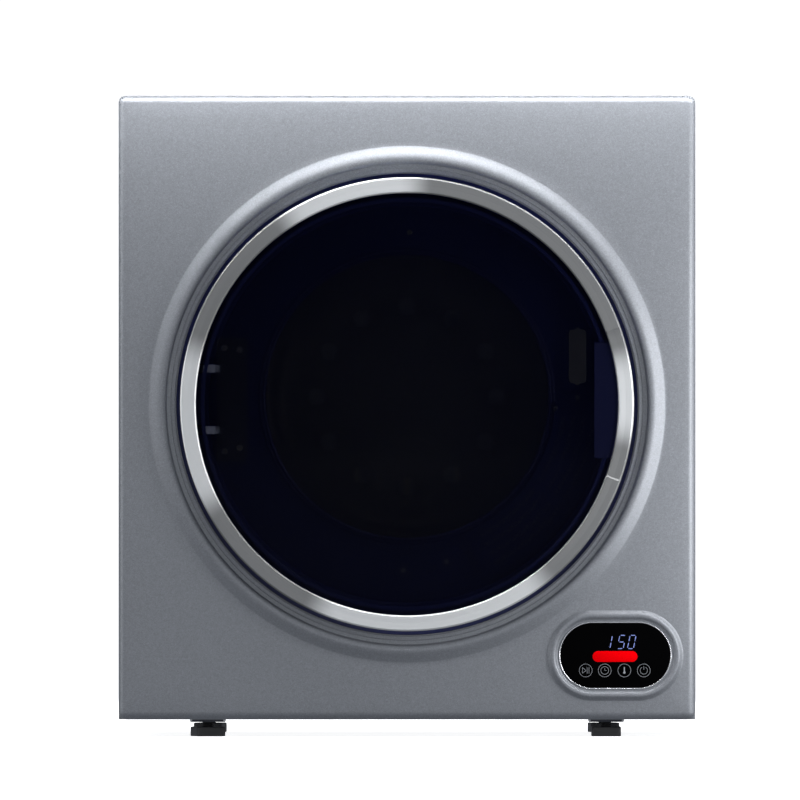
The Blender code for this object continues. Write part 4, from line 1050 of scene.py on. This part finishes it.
@dataclass
class DrumMouth:
    """What shows through the glass: the mouth's rim, the filter's grille, the hinge, the catch and screws.

    Attributes:
        datum: The shared places.
        pitch: The distance between the grille's holes.
        grille: The angles that the grille lies between, in degrees.
    """

    datum: Datum
    pitch: float = 5.2 * MM
    grille: tuple[float, float] = (-64.0, -5.0)

    def rim_piece(self) -> None:
        """Makes the mouth's rolled rim: two rounded beads with a groove between, and the collar behind."""
        d = self.datum
        r = d.rim
        section = softened(
            [
                (r - 0.6 * MM, d.deep(51)),
                (r - 0.6 * MM, d.deep(17.2)),
                (r + 1.4 * MM, d.deep(15.4)),
                (r + 3.2 * MM, d.deep(17.2)),
                (r + 4.6 * MM, d.deep(16.0)),
                (r + 7.0 * MM, d.deep(17.7)),
                (r - 0.2 * MM, d.deep(17.9)),
                (r - 0.2 * MM, d.deep(51)),
            ],
            0.9 * MM,
        )
        fit(lathe("mouth_rim", section, d.mouth, 240), Finishes.NAVY_PALE, "cabinet")

    def grille_piece(self) -> None:
        """Makes the filter's grille: a plate of six-sided cells with six-sided holes, inside a framed sector.

        The cells' centres are (i, j sqrt(3)/2) times the pitch, with every second row moved by half a pitch.
        Those that lie wholly in the sector are kept.
        Each cell is 6 outer and 6 inner points on a front and a back face.
        """
        d = self.datum
        reach = int(0.22 / self.pitch)
        i, j = np.meshgrid(np.arange(-reach, reach), np.arange(-2 * reach, 2 * reach))
        x = (i + (j % 2) / 2).ravel() * self.pitch
        z = j.ravel() * self.pitch * math.sqrt(3) / 2
        r, a = np.hypot(x, z), np.degrees(np.arctan2(z, x))
        margin = self.pitch * 0.62
        slack = np.degrees(margin / np.maximum(r, 1e-6))
        low, high = d.rim + 10 * MM + margin, d.rim + 56.5 * MM - margin
        keep = (r > low) & (r < high) & (a > self.grille[0] + slack) & (a < self.grille[1] - slack)
        centres = np.column_stack([x[keep], z[keep]])
        spokes = np.radians(np.arange(6) * 60 + 30)
        hexagon = np.stack([np.cos(spokes), np.sin(spokes)], axis=-1)
        cell, hole = self.pitch / math.sqrt(3), self.pitch * 0.36
        front, back = d.deep(14.3), d.deep(15.8)
        shapes = [(cell, front), (hole, front + 0.15 * MM), (hole, back), (cell, back)]
        rings = []
        for size, y in shapes:
            flat = centres[:, None] + hexagon[None] * size
            depth = np.full(flat.shape[:2], y)
            rings.append(np.stack([d.mouth.x + flat[..., 0], depth, d.mouth.z + flat[..., 1]], axis=-1))
        points = np.stack(rings, axis=1).reshape(-1, 3)
        start = np.arange(len(centres))[:, None, None] * 24
        ring, spoke = np.meshgrid(np.arange(4), np.arange(6), indexing="ij")
        after = (spoke + 1) % 6
        below = (ring + 1) % 4
        corners = [ring * 6 + spoke, ring * 6 + after, below * 6 + after, below * 6 + spoke]
        quad = np.stack(corners, axis=-1)[:3]
        faces = (start + quad.reshape(1, -1, 4)).reshape(-1, 4).tolist()
        mesh = mesh_piece("filter_grille", points, faces)
        fit(mesh, Finishes.NAVY_PALE, "cabinet")

    def sector_frame(self) -> None:
        """Makes the grille's border: a raised bar round the sector, which overlaps the outer cells."""
        d = self.datum
        inner, outer = d.rim + 9 * MM, d.rim + 57.5 * MM
        start, end = self.grille[0] - 2.2, self.grille[1] + 2.4
        centre = (d.mouth.x, d.mouth.z)
        sides = [
            disc_arc(centre, outer, start, end, 60),
            disc_arc(centre, (inner + outer) / 2, end, end, 1),
            disc_arc(centre, inner, end, start, 60),
            disc_arc(centre, (inner + outer) / 2, start, start, 1),
        ]
        path = np.concatenate(sides)
        piece = ribbon("grille_border", path, 4.2 * MM, d.deep(13.4), d.deep(17.5), closed=True)
        fit(piece, Finishes.NAVY, "cabinet")

    def catch_piece(self) -> None:
        """Makes the catch's raised inner frame and the hollow that the peg enters."""
        low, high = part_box("latch_catch")
        centre = (low + high) / 2
        front = low.y
        spine, direction = stadium(Vector((centre.z, 0, centre.x)), 27 * MM, 9 * MM, 96)
        outer, inner = 9 * MM, 7.4 * MM
        root, crest = front - 0.1 * MM, front - 1.0 * MM
        rows = softened([(outer, root), (outer, crest), (inner, crest), (inner, root)], 0.4 * MM)
        points = around(spine, direction, rows)[..., [2, 1, 0]]
        fit(surface("catch_frame", points), Finishes.NAVY_PALE, "cabinet")

    def screws(self) -> None:
        """Puts the screws on the hinge plate, the catch, the grille and the inner wall."""
        d = self.datum
        hinge_low, hinge_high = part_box("hinge_bracket")
        catch_low, catch_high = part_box("latch_catch")
        plate_y = hinge_high.y - 2.2 * MM
        middle = (catch_low.x + catch_high.x) / 2
        spots = []
        for x, z in ((8, 10), (24, 14), (8, 118), (24, 116)):
            place = Vector((hinge_high.x - 32 * MM + x * MM, plate_y, hinge_low.z + z * MM))
            spots.append(("hinge_screw", place, 3.4))
        for z in (catch_low.z + 9 * MM, catch_high.z - 9 * MM):
            spots.append(("catch_screw", Vector((middle, catch_low.y, z)), 2.6))
        wall = d.deep(18)
        spots.append(("cover_screw", Vector((d.mouth.x + 0.1545, d.deep(14.3), d.mouth.z - 0.0125)), 2.6))
        for x, z in ((0.0025, 0.171), (0.041, -0.172), (-0.004, -0.181)):
            spots.append(("wall_screw", Vector((d.mouth.x + x, wall, d.mouth.z + z)), 2.8))
        for number, (name, place, radius) in enumerate(spots):
            head = screw_head(f"{name}_{number + 1}", place, radius * MM, 1.5 * MM)
            fit(head, Finishes.STEEL, "cabinet")

    def dress(self) -> None:
        """Makes the pieces round the mouth and dresses the CAD nodes there."""
        self.rim_piece()
        self.grille_piece()
        self.sector_frame()
        self.catch_piece()
        self.screws()
        redress(Finishes.NAVY, "front_bulkhead", "filter_cover", "latch_catch", "door_switch")
        redress(Finishes.DARK_STEEL, "hinge_bracket")
        redress(Finishes.RUBBER, "door_seal")
        redress(Finishes.GREY, "lint_screen", "switch_plunger")
        redress(Finishes.FELT, "drum_felt_ring")


# ---------------------------------------------------------------- control


class Segment(Enum):
    """The seven strokes of a digit, each between two corners of its box, as (column, half-row) pairs."""

    TOP = ((0, 2), (1, 2))
    UPPER_RIGHT = ((1, 2), (1, 1))
    LOWER_RIGHT = ((1, 1), (1, 0))
    BOTTOM = ((0, 0), (1, 0))
    LOWER_LEFT = ((0, 1), (0, 0))
    UPPER_LEFT = ((0, 2), (0, 1))
    MIDDLE = ((0, 1), (1, 1))


DIGITS: dict[str, tuple[Segment, ...]] = {
    "1": (Segment.UPPER_RIGHT, Segment.LOWER_RIGHT),
    "5": (Segment.TOP, Segment.UPPER_LEFT, Segment.MIDDLE, Segment.LOWER_RIGHT, Segment.BOTTOM),
    "0": (
        Segment.TOP,
        Segment.UPPER_RIGHT,
        Segment.LOWER_RIGHT,
        Segment.BOTTOM,
        Segment.LOWER_LEFT,
        Segment.UPPER_LEFT,
    ),
}


@dataclass
class Control:
    """The touch control: a raised rim, a black lens, three lit digits, a red strip and four printed marks.

    Attributes:
        datum: The shared places.
        rim: How far the rim reaches from the lens.
        digit: A digit's width and height.
        slant: How far a digit leans, as a share of its height.
        mark_radius: The radius of the ring round a touch mark.
    """

    datum: Datum
    rim: float = 13.4 * MM
    digit: tuple[float, float] = (6.2 * MM, 13.8 * MM)
    slant: float = 0.20
    mark_radius: float = 6.7 * MM

    def __post_init__(self) -> None:
        """Reads the lens's place and size from the frame."""
        low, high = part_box("control_lens")
        self.centre = (low + high) / 2
        self.half = ((high.x - low.x) / 2, (high.z - low.z) / 2)
        self.face = low.y
        self.print_front = self.face - 0.10 * MM
        self.print_back = self.face + 0.20 * MM

    def bezel(self) -> None:
        """Makes the rim, steep inside and falling gently outwards, and the bright line at the lens's edge."""
        spine, direction = stadium(self.centre, *self.half)
        height = self.half[1]
        front = self.datum.front
        section = softened(
            [
                (height + 0.4 * MM, front + 1.6 * MM),
                (height + 0.4 * MM, front - 0.6 * MM),
                (height + 3.0 * MM, front - 0.8 * MM),
                (height + 5.2 * MM, front - 3.9 * MM),
                (height + 8.4 * MM, front - 4.3 * MM),
                (height + self.rim - 1.4 * MM, front - 0.7 * MM),
                (height + self.rim, front - 0.1 * MM),
                (height + 5.4 * MM, front - 0.1 * MM),
                (height + 5.4 * MM, front + 1.6 * MM),
            ],
            1.5 * MM,
            5,
        )
        piece = surface("control_rim", around(spine, direction, section), sharp=40)
        fit(piece, Finishes.SILVER, "cabinet")
        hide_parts("control_bezel")
        line = softened(
            [
                (height - 0.3 * MM, front + 1.2 * MM),
                (height - 0.3 * MM, front - 1.7 * MM),
                (height + 0.5 * MM, front - 2.0 * MM),
                (height + 0.9 * MM, front - 1.2 * MM),
                (height + 0.7 * MM, front + 1.2 * MM),
            ],
            0.4 * MM,
        )
        piece = surface("lens_line", around(spine, direction, line))
        fit(piece, Finishes.BRIGHT, "cabinet")

    def lens(self) -> None:
        """Makes the lens: a flat black face with a rounded edge."""
        spine, direction = stadium(self.centre, *self.half)
        height = self.half[1]
        edge = ramp(0, math.pi / 2, 6)
        reach = height - 1.6 * MM + 1.2 * MM * np.sin(edge)
        rows = np.column_stack([reach, self.face + 1.0 * MM * (1 - np.cos(edge))])
        rows = np.concatenate([rows, [[height - 0.4 * MM, self.datum.front + 1.4 * MM]]])
        piece = surface("lens", around(spine, direction, rows), wrap_rows=False, caps=True)
        fit(piece, Finishes.LENS, "cabinet")
        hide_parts("control_lens")

    def digits(self, text: str, middle: tuple[float, float]) -> None:
        """Makes the lit digits, each stroke a six-sided bar on a slanted grid.

        A 1 stands in the middle of its box, and the other digits fill theirs.

        Args:
            text: The digits to show.
            middle: The x and z of the middle of the line of digits.
        """
        width, height = self.digit
        pitch = width + 4.5 * MM
        stroke, gap = 0.85 * MM, 0.75 * MM
        for place, digit in enumerate(text):
            narrow = width / 2 if digit == "1" else 0.0
            left = middle[0] + (place - (len(text) - 1) / 2) * pitch - width / 2 - narrow
            for segment in DIGITS[digit]:
                ends = np.array(segment.value) * [width, height / 2]
                along = ends[1] - ends[0]
                length = np.linalg.norm(along)
                along = along / length
                across = np.array([-along[1], along[0]]) * stroke / 2
                start, end = ends[0] + along * gap, ends[1] - along * gap
                taper = along * stroke / 2
                near, far = start + taper, end - taper
                shape = np.array([start, near + across, far + across, end, far - across, near - across])
                shape[:, 0] += left + self.slant * (shape[:, 1] - height / 2)
                shape[:, 1] += middle[1] - height / 2
                name = f"digit_{place + 1}_{segment.name.lower()}"
                piece = plate(name, shape, self.print_front, self.print_back)
                fit(piece, Finishes.DIGIT, "cabinet")

    def strip(self, middle: tuple[float, float]) -> None:
        """Makes the plain red strip, a flat bar with round ends.

        Args:
            middle: The x and z of its middle.
        """
        spine, direction = stadium(Vector((middle[0], 0, middle[1])), 23.3 * MM, 5.6 * MM, 64)
        front, back = self.print_front, self.print_back
        rows = np.array([(5.4 * MM, front), (5.6 * MM, front + 0.1 * MM), (5.6 * MM, back)])
        piece = surface("red_strip", around(spine, direction, rows), wrap_rows=False, caps=True)
        fit(piece, Finishes.RED, "cabinet")

    def line(self, name: str, path: Grid, closed: bool = False, width: float = 0.36 * MM) -> None:
        """Prints one thin grey line.

        Args:
            name: The line's name.
            path: Its points, in x and z.
            closed: Whether it is a loop.
            width: Its width.
        """
        # The print's material adds a painted glow.
        piece = ribbon(name, path, width, self.print_front, self.print_back, closed)
        fit(piece, Finishes.MARK, "cabinet")

    def marks(self, z: float) -> None:
        """Prints the four touch marks: start, time, heat and power, each in a ring.

        Args:
            z: The height of the marks' middles.
        """
        r = self.mark_radius
        xs = [self.centre.x + offset * MM for offset in (-30.8, -11.0, 9.4, 29.6)]
        for number, x in enumerate(xs):
            self.line(f"mark_ring_{number + 1}", disc_arc((x, z), r, 0, 354, 60), closed=True)
        start, time, heat, power = xs
        arrow = np.array([(-3.4, -3.0), (-3.4, 3.0), (0.4, 0.0)]) * MM + [start, z]
        for number, (here, there) in enumerate(zip(arrow, np.roll(arrow, -1, axis=0))):
            self.line(f"start_arrow_{number + 1}", np.stack([here, (here + there) / 2, there]))
        for number, side in enumerate((1.5, 3.4)):
            bar = np.array([(side, -3.3), (side, 0.0), (side, 3.3)]) * MM
            self.line(f"start_bar_{number + 1}", bar + [start, z])
        self.line("clock_face", disc_arc((time, z), 4.0 * MM, 0, 350, 36), closed=True)
        self.line("clock_hands", np.array([(0.0, 2.4), (0.0, 0.0), (1.9, 0.0)]) * MM + [time, z])
        stem = np.array([(0.0, 3.4), (0.0, 0.0), (0.0, -1.2)]) * MM + [heat, z]
        self.line("heat_stem", stem, width=1.1 * MM)
        outline = disc_arc((heat, z - 2.2 * MM), 1.3 * MM, 0, 345, 24)
        # The printed bulb takes the same painted glow.
        bulb = plate("heat_bulb", outline, self.print_front, self.print_back)
        fit(bulb, Finishes.MARK, "cabinet")
        self.line("power_ring", disc_arc((power, z), 3.8 * MM, 120, 420, 36))
        self.line("power_bar", np.array([(0.0, 4.6), (0.0, 2.8), (0.0, 1.0)]) * MM + [power, z])

    def dress(self) -> None:
        """Makes the whole control."""
        self.bezel()
        self.lens()
        x, z = self.centre.x, self.centre.z
        self.digits("150", (x + 6.4 * MM, z + 14.0 * MM))
        self.strip((x - 0.3 * MM, z - 1.1 * MM))
        self.marks(z - 15.6 * MM)
        redress(Finishes.BLACK, "display_module")
        redress(Finishes.BOARD, "control_board", "power_board")
        redress(Finishes.GREY, "control_housing")


# ---------------------------------------------------------------- feet


@dataclass
class Feet:
    """The four screw feet and the plates that they pass through.

    Attributes:
        datum: The shared places.
        side: The block's side.
        block: The block's height.
        thread_pitch: The stud's thread pitch.
        turns: How far each foot's block is turned, in degrees.
    """

    datum: Datum
    side: float = 31 * MM
    block: float = 10 * MM
    thread_pitch: float = 1.75 * MM
    turns: dict[str, float] = field(
        default_factory=lambda: {
            "front_left": 17.5,
            "front_right": 0.0,
            "rear_left": -12.0,
            "rear_right": 8.0,
        }
    )

    def block_piece(self, name: str, x: float, y: float, degrees: float) -> bpy.types.Object:
        """Makes a square block whose corners and rims are rounded.

        A row at the height z is the rounded square |x|^8 + |y|^8 = s^8, where s is half the side, drawn in at
        the rims.

        Args:
            name: The piece's name.
            x: The foot's place.
            y: The foot's place.
            degrees: How far the block is turned.

        Returns:
            The new object.
        """
        a = turn(96)
        reach = (np.abs(np.cos(a)) ** 8 + np.abs(np.sin(a)) ** 8) ** (-1 / 8)
        rim = ramp(0, math.pi / 2, 5)
        inset = 0.9 * MM * (1 - np.sin(rim))
        rise = 0.9 * MM * (1 - np.cos(rim))
        z = np.concatenate([rise, (self.block - rise)[::-1]])
        half = self.side / 2 - np.concatenate([inset, inset[::-1]])
        r = half[:, None] * reach
        at = a + math.radians(degrees)
        height = np.broadcast_to(z[:, None], r.shape)
        points = np.stack([x + r * np.cos(at), y + r * np.sin(at), height], axis=-1)
        return surface(name, points, wrap_rows=False, caps=True, sharp=40)

    def stud_piece(self, name: str, x: float, y: float, top: float) -> bpy.types.Object:
        """Makes a threaded stud, whose radius is 5.5 + 0.4 cos(2 pi z / pitch - angle) mm.

        Args:
            name: The piece's name.
            x: The foot's place.
            y: The foot's place.
            top: The height of the stud's end.

        Returns:
            The new object.
        """
        a = turn(36)
        z = ramp(self.block - 0.5 * MM, top, 110)[:, None]
        r = (5.5 + 0.4 * np.cos(2 * math.pi * z / self.thread_pitch - a)) * MM
        points = np.stack([x + r * np.cos(a), y + r * np.sin(a), np.broadcast_to(z, r.shape)], axis=-1)
        return surface(name, points, wrap_rows=False, caps=True, sharp=60)

    def plate_piece(self, name: str, x: float, y: float) -> bpy.types.Object:
        """Makes the plate under the base: a rounded square with a hole for the stud.

        Args:
            name: The piece's name.
            x: The foot's place.
            y: The foot's place.

        Returns:
            The new object.
        """
        a = turn(96)
        square = (np.abs(np.cos(a)) ** 10 + np.abs(np.sin(a)) ** 10) ** (-1 / 10)
        base = self.datum.low.z
        low, high = base - 3.0 * MM, base - 0.05 * MM
        hole, half, bevel = 6.6 * MM, 18.6 * MM, 0.6 * MM
        rows = [(hole, low), (18.0 * MM, low), (half, low + bevel), (half, high), (hole, high)]
        shapes = [np.ones_like(a), square, square, square, np.ones_like(a)]
        points = np.stack(
            [
                np.stack([x + r * s * np.cos(a), y + r * s * np.sin(a), np.full_like(a, z)], axis=-1)
                for (r, z), s in zip(rows, shapes)
            ]
        )
        return surface(name, points, sharp=40)

    def dress(self) -> None:
        """Makes each foot's block, stud and plate."""
        for key, degrees in self.turns.items():
            node = f"foot_{key}"
            low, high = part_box(node)
            x, y = (low.x + high.x) / 2, (low.y + high.y) / 2
            block = self.block_piece(f"{node}_block", x, y, degrees)
            fit(block, Finishes.BLACK, node)
            stud = self.stud_piece(f"{node}_stud", x, y, high.z)
            fit(stud, Finishes.BLACK, node)
            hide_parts(node)
            fit(self.plate_piece(f"{node}_plate", x, y), Finishes.BLUE_BLACK, "cabinet")


# ---------------------------------------------------------------- works


@dataclass
class Works:
    """What turns and blows inside the casing, and the drum that an open door shows.

    Attributes:
        datum: The shared places.
    """

    datum: Datum

    def lifters(self) -> None:
        """Makes the lifters: a rounded rib whose height falls away at both ends.

        At u along the rib and angle v over it, the rib stands h k sin(v)^0.8 high and w cos(v) wide about a
        radius of the drum. Both are drawn in at the ends, where k is 1 - 0.55 |2u - 1|^6.
        """
        d = self.datum
        low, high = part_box("drum_shell")
        root = (high.x - low.x) / 2 - 1.2 * MM
        u = ramp(0, 1, 60)[:, None]
        v = ramp(0, math.pi, 40)[None]
        taper = 1 - np.abs(2 * u - 1) ** 6 * 0.55
        for number in range(3):
            node = f"drum_lifter_{number + 1}"
            start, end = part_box(node)
            y = start.y + (end.y - start.y) * u + 0 * v
            rise = 49 * MM * taper * np.sin(v) ** 0.8
            wide = 30 * MM * (0.35 + 0.65 * taper) * np.cos(v) * (1 - 0.35 * np.sin(v))
            angle = math.radians(90 + 120 * number)
            r = root - 3.0 * MM - rise
            x = d.mouth.x + r * math.cos(angle) - wide * math.sin(angle)
            z = d.mouth.z + r * math.sin(angle) + wide * math.cos(angle)
            points = np.stack([x, y, z], axis=-1)
            piece = surface(f"lifter_{number + 1}", points, wrap_rows=False, caps=True, sharp=50)
            fit(piece, Finishes.GREY, "drum")
            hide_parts(node)

    def shell(self) -> None:
        """Makes the drum's shell: a rounded section with four pressed beads, turned about the drum's axis.

        The wall's radius is R - b sum of exp(-((y - y_i)/w)^2) over the beads at y_i.
        """
        d = self.datum
        low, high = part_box("drum_shell")
        radius = (high.x - low.x) / 2
        neck = d.rim + 14.2 * MM
        t = 0.8 * MM
        y0, y1 = low.y, high.y
        wall = y0 + 4 * MM
        y = ramp(wall + 9 * MM, y1, 90)
        middles = ramp(y0 + 60 * MM, y1 - 60 * MM, 4)
        beads = np.exp(-(((y[:, None] - middles[None]) / (3.5 * MM)) ** 2)).sum(axis=1)
        r = radius - 1.0 * MM * beads
        outer = np.column_stack([r, y])
        bend = 8 * MM
        shoulder = radius - bend
        front = np.array([(neck, y0), (neck, wall - 1.5 * MM), (neck + 1.5 * MM, wall), (shoulder, wall)])
        knee = disc_arc((shoulder, wall + bend), bend, -90, 0, 8)
        front_inner = np.array(
            [(shoulder, wall + t), (neck + 1.0 * MM, wall + t), (neck - t, wall - 1 * MM), (neck - t, y0)]
        )
        knee_inner = disc_arc((shoulder, wall + bend), bend - t, 0, -90, 8)
        profile = np.concatenate([front, knee, outer, outer[::-1] - [t, 0], knee_inner, front_inner])
        piece = lathe("drum_wall", profile, d.mouth, 192)
        fit(piece, Finishes.DRUM, "drum")
        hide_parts("drum_shell")

    def collar(self) -> None:
        """Makes the exhaust spigot with three grip ribs and a rolled end."""
        low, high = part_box("exhaust_collar")
        centre = (low + high) / 2
        length = high.y - low.y
        y = ramp(0.0, 1.0, 60)
        ribs = 0.7 * MM * np.maximum(0, np.sin(y * math.pi * 7)) * (y > 0.35) * (y < 0.95)
        tube = 49.4 * MM
        outer = np.column_stack([tube + ribs, low.y + 2 * MM + (length - 2 * MM) * y])
        profile = np.concatenate(
            [
                [(56 * MM, low.y), (56 * MM, low.y + 1.7 * MM), (tube + 1 * MM, low.y + 1.9 * MM)],
                outer,
                [(tube - 1.4 * MM, high.y), (tube - 1.4 * MM, low.y)],
            ]
        )
        piece = lathe("exhaust_spigot", profile, centre, 144)
        fit(piece, Finishes.GREY, "cabinet")
        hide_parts("exhaust_collar")
        for number, angle in enumerate((45, 135, 225, 315)):
            a = math.radians(angle)
            away = Vector((math.cos(a), 0.0, math.sin(a))) * 52.9 * MM
            place = Vector((centre.x, low.y + 1.7 * MM, centre.z)) + away
            head = screw_head(f"spigot_screw_{number + 1}", place, 2.2 * MM, 1.3 * MM, 1.0)
            fit(head, Finishes.STEEL, "cabinet")

    def rear_details(self) -> None:
        """Puts a pressed hood over each air slot and a row of screws round the rear panel.

        A hood is a half tube: at u along it and angle v over it, it stands h sin(v) sin(pi u)^0.35 behind the
        panel.
        """
        d = self.datum
        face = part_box("rear_panel")[1].y
        u = ramp(0.0, 1.0, 40)[:, None]
        v = ramp(0, math.pi, 16)[None]
        number = 0
        for column in (-75, 75):
            for row in range(5):
                number += 1
                z = d.mouth.z + (-48 + 24 * row) * MM
                x = d.mouth.x + (column - 48 + 96 * u) * MM + 0 * v
                swell = np.sin(math.pi * np.clip(u, 0.002, 0.998)) ** 0.35
                y = face - 0.3 * MM + 4.5 * MM * np.sin(v) * swell
                height = z + 3.2 * MM + 6.5 * MM * np.cos(v) * (0.5 + 0.5 * swell)
                points = np.stack([x, y, height], axis=-1)
                piece = surface(f"air_hood_{number}", points, wrap_rows=False, caps=True, sharp=50)
                fit(piece, Finishes.ZINC, "cabinet")
        low, high = d.low, d.high
        inset = 7 * MM
        heights = ramp(low.z + 40 * MM, high.z - 40 * MM, 4)
        spots = [(x, z) for x in (low.x + inset, high.x - inset) for z in heights]
        spots += [(x, z) for x in (-0.15, 0.15) for z in (low.z + inset, high.z - inset)]
        for number, (x, z) in enumerate(spots):
            head = screw_head(f"rear_screw_{number + 1}", Vector((x, face, z)), 3.8 * MM, 1.8 * MM, 1.0)
            fit(head, Finishes.STEEL, "cabinet")

    def dress(self) -> None:
        """Makes the drum's and the rear's fine pieces, and dresses the works."""
        self.lifters()
        self.shell()
        self.collar()
        self.rear_details()
        redress(Finishes.DRUM, "drum_back", "drum_shaft")
        redress(Finishes.STEEL, "shaft_bearing", "motor_shaft", "motor_pulley", "idler_spring")
        redress(Finishes.STEEL, "thermal_cutout")
        redress(Finishes.ZINC, "heater_shroud", "motor_bracket", "idler_bracket", "idler_arm")
        redress(Finishes.GREY, "outlet_duct", "blower_housing", "exhaust_duct", "blower_wheel")
        redress(Finishes.GREY, "idler_pulley", "motor_capacitor")
        redress(Finishes.MOTOR, "motor_housing")
        redress(Finishes.RUBBER, "drive_belt")
        redress(Finishes.BLACK, "cord_gland")
        redress(Finishes.FINS, "ptc_heater")


# ---------------------------------------------------------------- studio


@dataclass
class Studio:
    """The pale floor with its far wall, the soft lights and the camera.

    Attributes:
        datum: The shared places.
        distance: From the camera to the front panel.
        frame_width: The width that the picture shows at the front panel.
        aim: The x and z that the picture's middle shows.
    """

    datum: Datum
    distance: float = 26.0
    frame_width: float = 0.8319
    aim: tuple[float, float] = (-0.0073, 0.3504)

    def camera(self) -> None:
        """Sets the camera level, square to the front."""
        data = bpy.data.cameras.new("camera")
        data.lens = data.sensor_width * self.distance / self.frame_width
        data.clip_end = 200
        camera = bpy.data.objects.new("camera", data)
        camera.location = (self.aim[0], self.datum.front - self.distance, self.aim[1])
        camera.rotation_euler = (math.pi / 2, 0, 0)
        bpy.context.scene.collection.objects.link(camera)
        bpy.context.scene.camera = camera

    def dish(self) -> None:
        """Makes the floor: a flat disc that turns up all round into a far wall.

        Its section is turned about Z. The dish shows to the camera alone, so that only the lamps and the even
        light shine on the dryer.
        """
        arc = np.radians(ramp(-90, 0, 24))
        flat = np.column_stack([ramp(0, 40, 60), np.zeros(60)])
        bend = np.column_stack([40 + 6 * np.cos(arc), 6 + 6 * np.sin(arc)])[1:]
        section = np.concatenate([flat, bend, [[46, 40]]])
        a = turn(96)
        r, z = section[:, :1], section[:, 1:]
        points = np.stack([r * np.cos(a), r * np.sin(a), z + 0 * a], axis=-1)
        sheet = surface("studio_dish", points, wrap_rows=False)
        paper = Glow("pale_floor", (0.95, 0.95, 0.95), 0.9, grain=40.0, specular=0.0, strength=0.92)
        sheet.data.materials.append(paper.build())
        sheet.visible_diffuse = False
        sheet.visible_glossy = False
        sheet.visible_shadow = False

    def lamp(self, name: str, place: Colour, target: Colour, size: tuple[float, float], power: float) -> None:
        """Adds one soft rectangular lamp.

        Args:
            name: The lamp's name.
            place: Where it stands.
            target: What it points at.
            size: Its width and height.
            power: Its power in watts.
        """
        data = bpy.data.lights.new(name, "AREA")
        data.shape = "RECTANGLE"
        data.size, data.size_y = size
        data.energy = power
        lamp = bpy.data.objects.new(name, data)
        lamp.visible_camera = False
        lamp.location = place
        lamp.rotation_euler = (Vector(target) - Vector(place)).to_track_quat("-Z", "Y").to_euler()
        bpy.context.scene.collection.objects.link(lamp)

    def lights(self) -> None:
        """Adds the lamps and the even light all round."""
        world = bpy.data.worlds.new("studio_world")
        bpy.context.scene.world = world
        world.use_nodes = True
        back = world.node_tree.nodes["Background"]
        back.inputs["Color"].default_value = (0.80, 0.84, 0.92, 1.0)
        back.inputs["Strength"].default_value = 0.33
        middle = (0.0, 0.0, 0.38)
        front = self.datum.front
        self.lamp("top_strip", (0.0, front - 0.09, 0.795), (0.0, front + 0.03, 0.60), (1.3, 0.04), 5.3)
        self.lamp("right_strip", (0.52, front - 0.24, 0.30), (0.20, front, 0.30), (0.08, 0.5), 2.0)
        self.lamp("top_lamp", (0.0, -1.3, 2.9), (0.0, 0.0, 0.5), (2.4, 1.2), 9)
        self.lamp("left_lamp", (-2.0, -0.7, 0.6), middle, (0.9, 1.8), 12)
        self.lamp("right_lamp", (2.0, -0.7, 0.8), middle, (0.9, 1.8), 15)
        self.lamp("low_lamp", (-0.2, -1.5, 0.10), (-0.1, 0.0, 0.12), (2.4, 0.3), 3.2)
        self.lamp("rear_lamp", (0.6, 2.4, 1.3), middle, (2.0, 1.4), 55)

    def dress(self) -> None:
        """Sets the whole stage."""
        self.camera()
        self.dish()
        self.lights()
        bpy.context.scene.view_settings.view_transform = "Standard"


def main() -> None:
    """Builds the dryer's sub-assemblies in order, then the studio."""
    logging.basicConfig(level=logging.INFO, format="%(message)s")
    datum = Datum.read()
    for part in (Cabinet, Door, DrumMouth, Control, Feet, Works, Studio):
        LOG.info("building %s", part.__name__)
        part(datum).dress()
    bpy.context.view_layer.update()


if __name__ == "__main__":
    main()
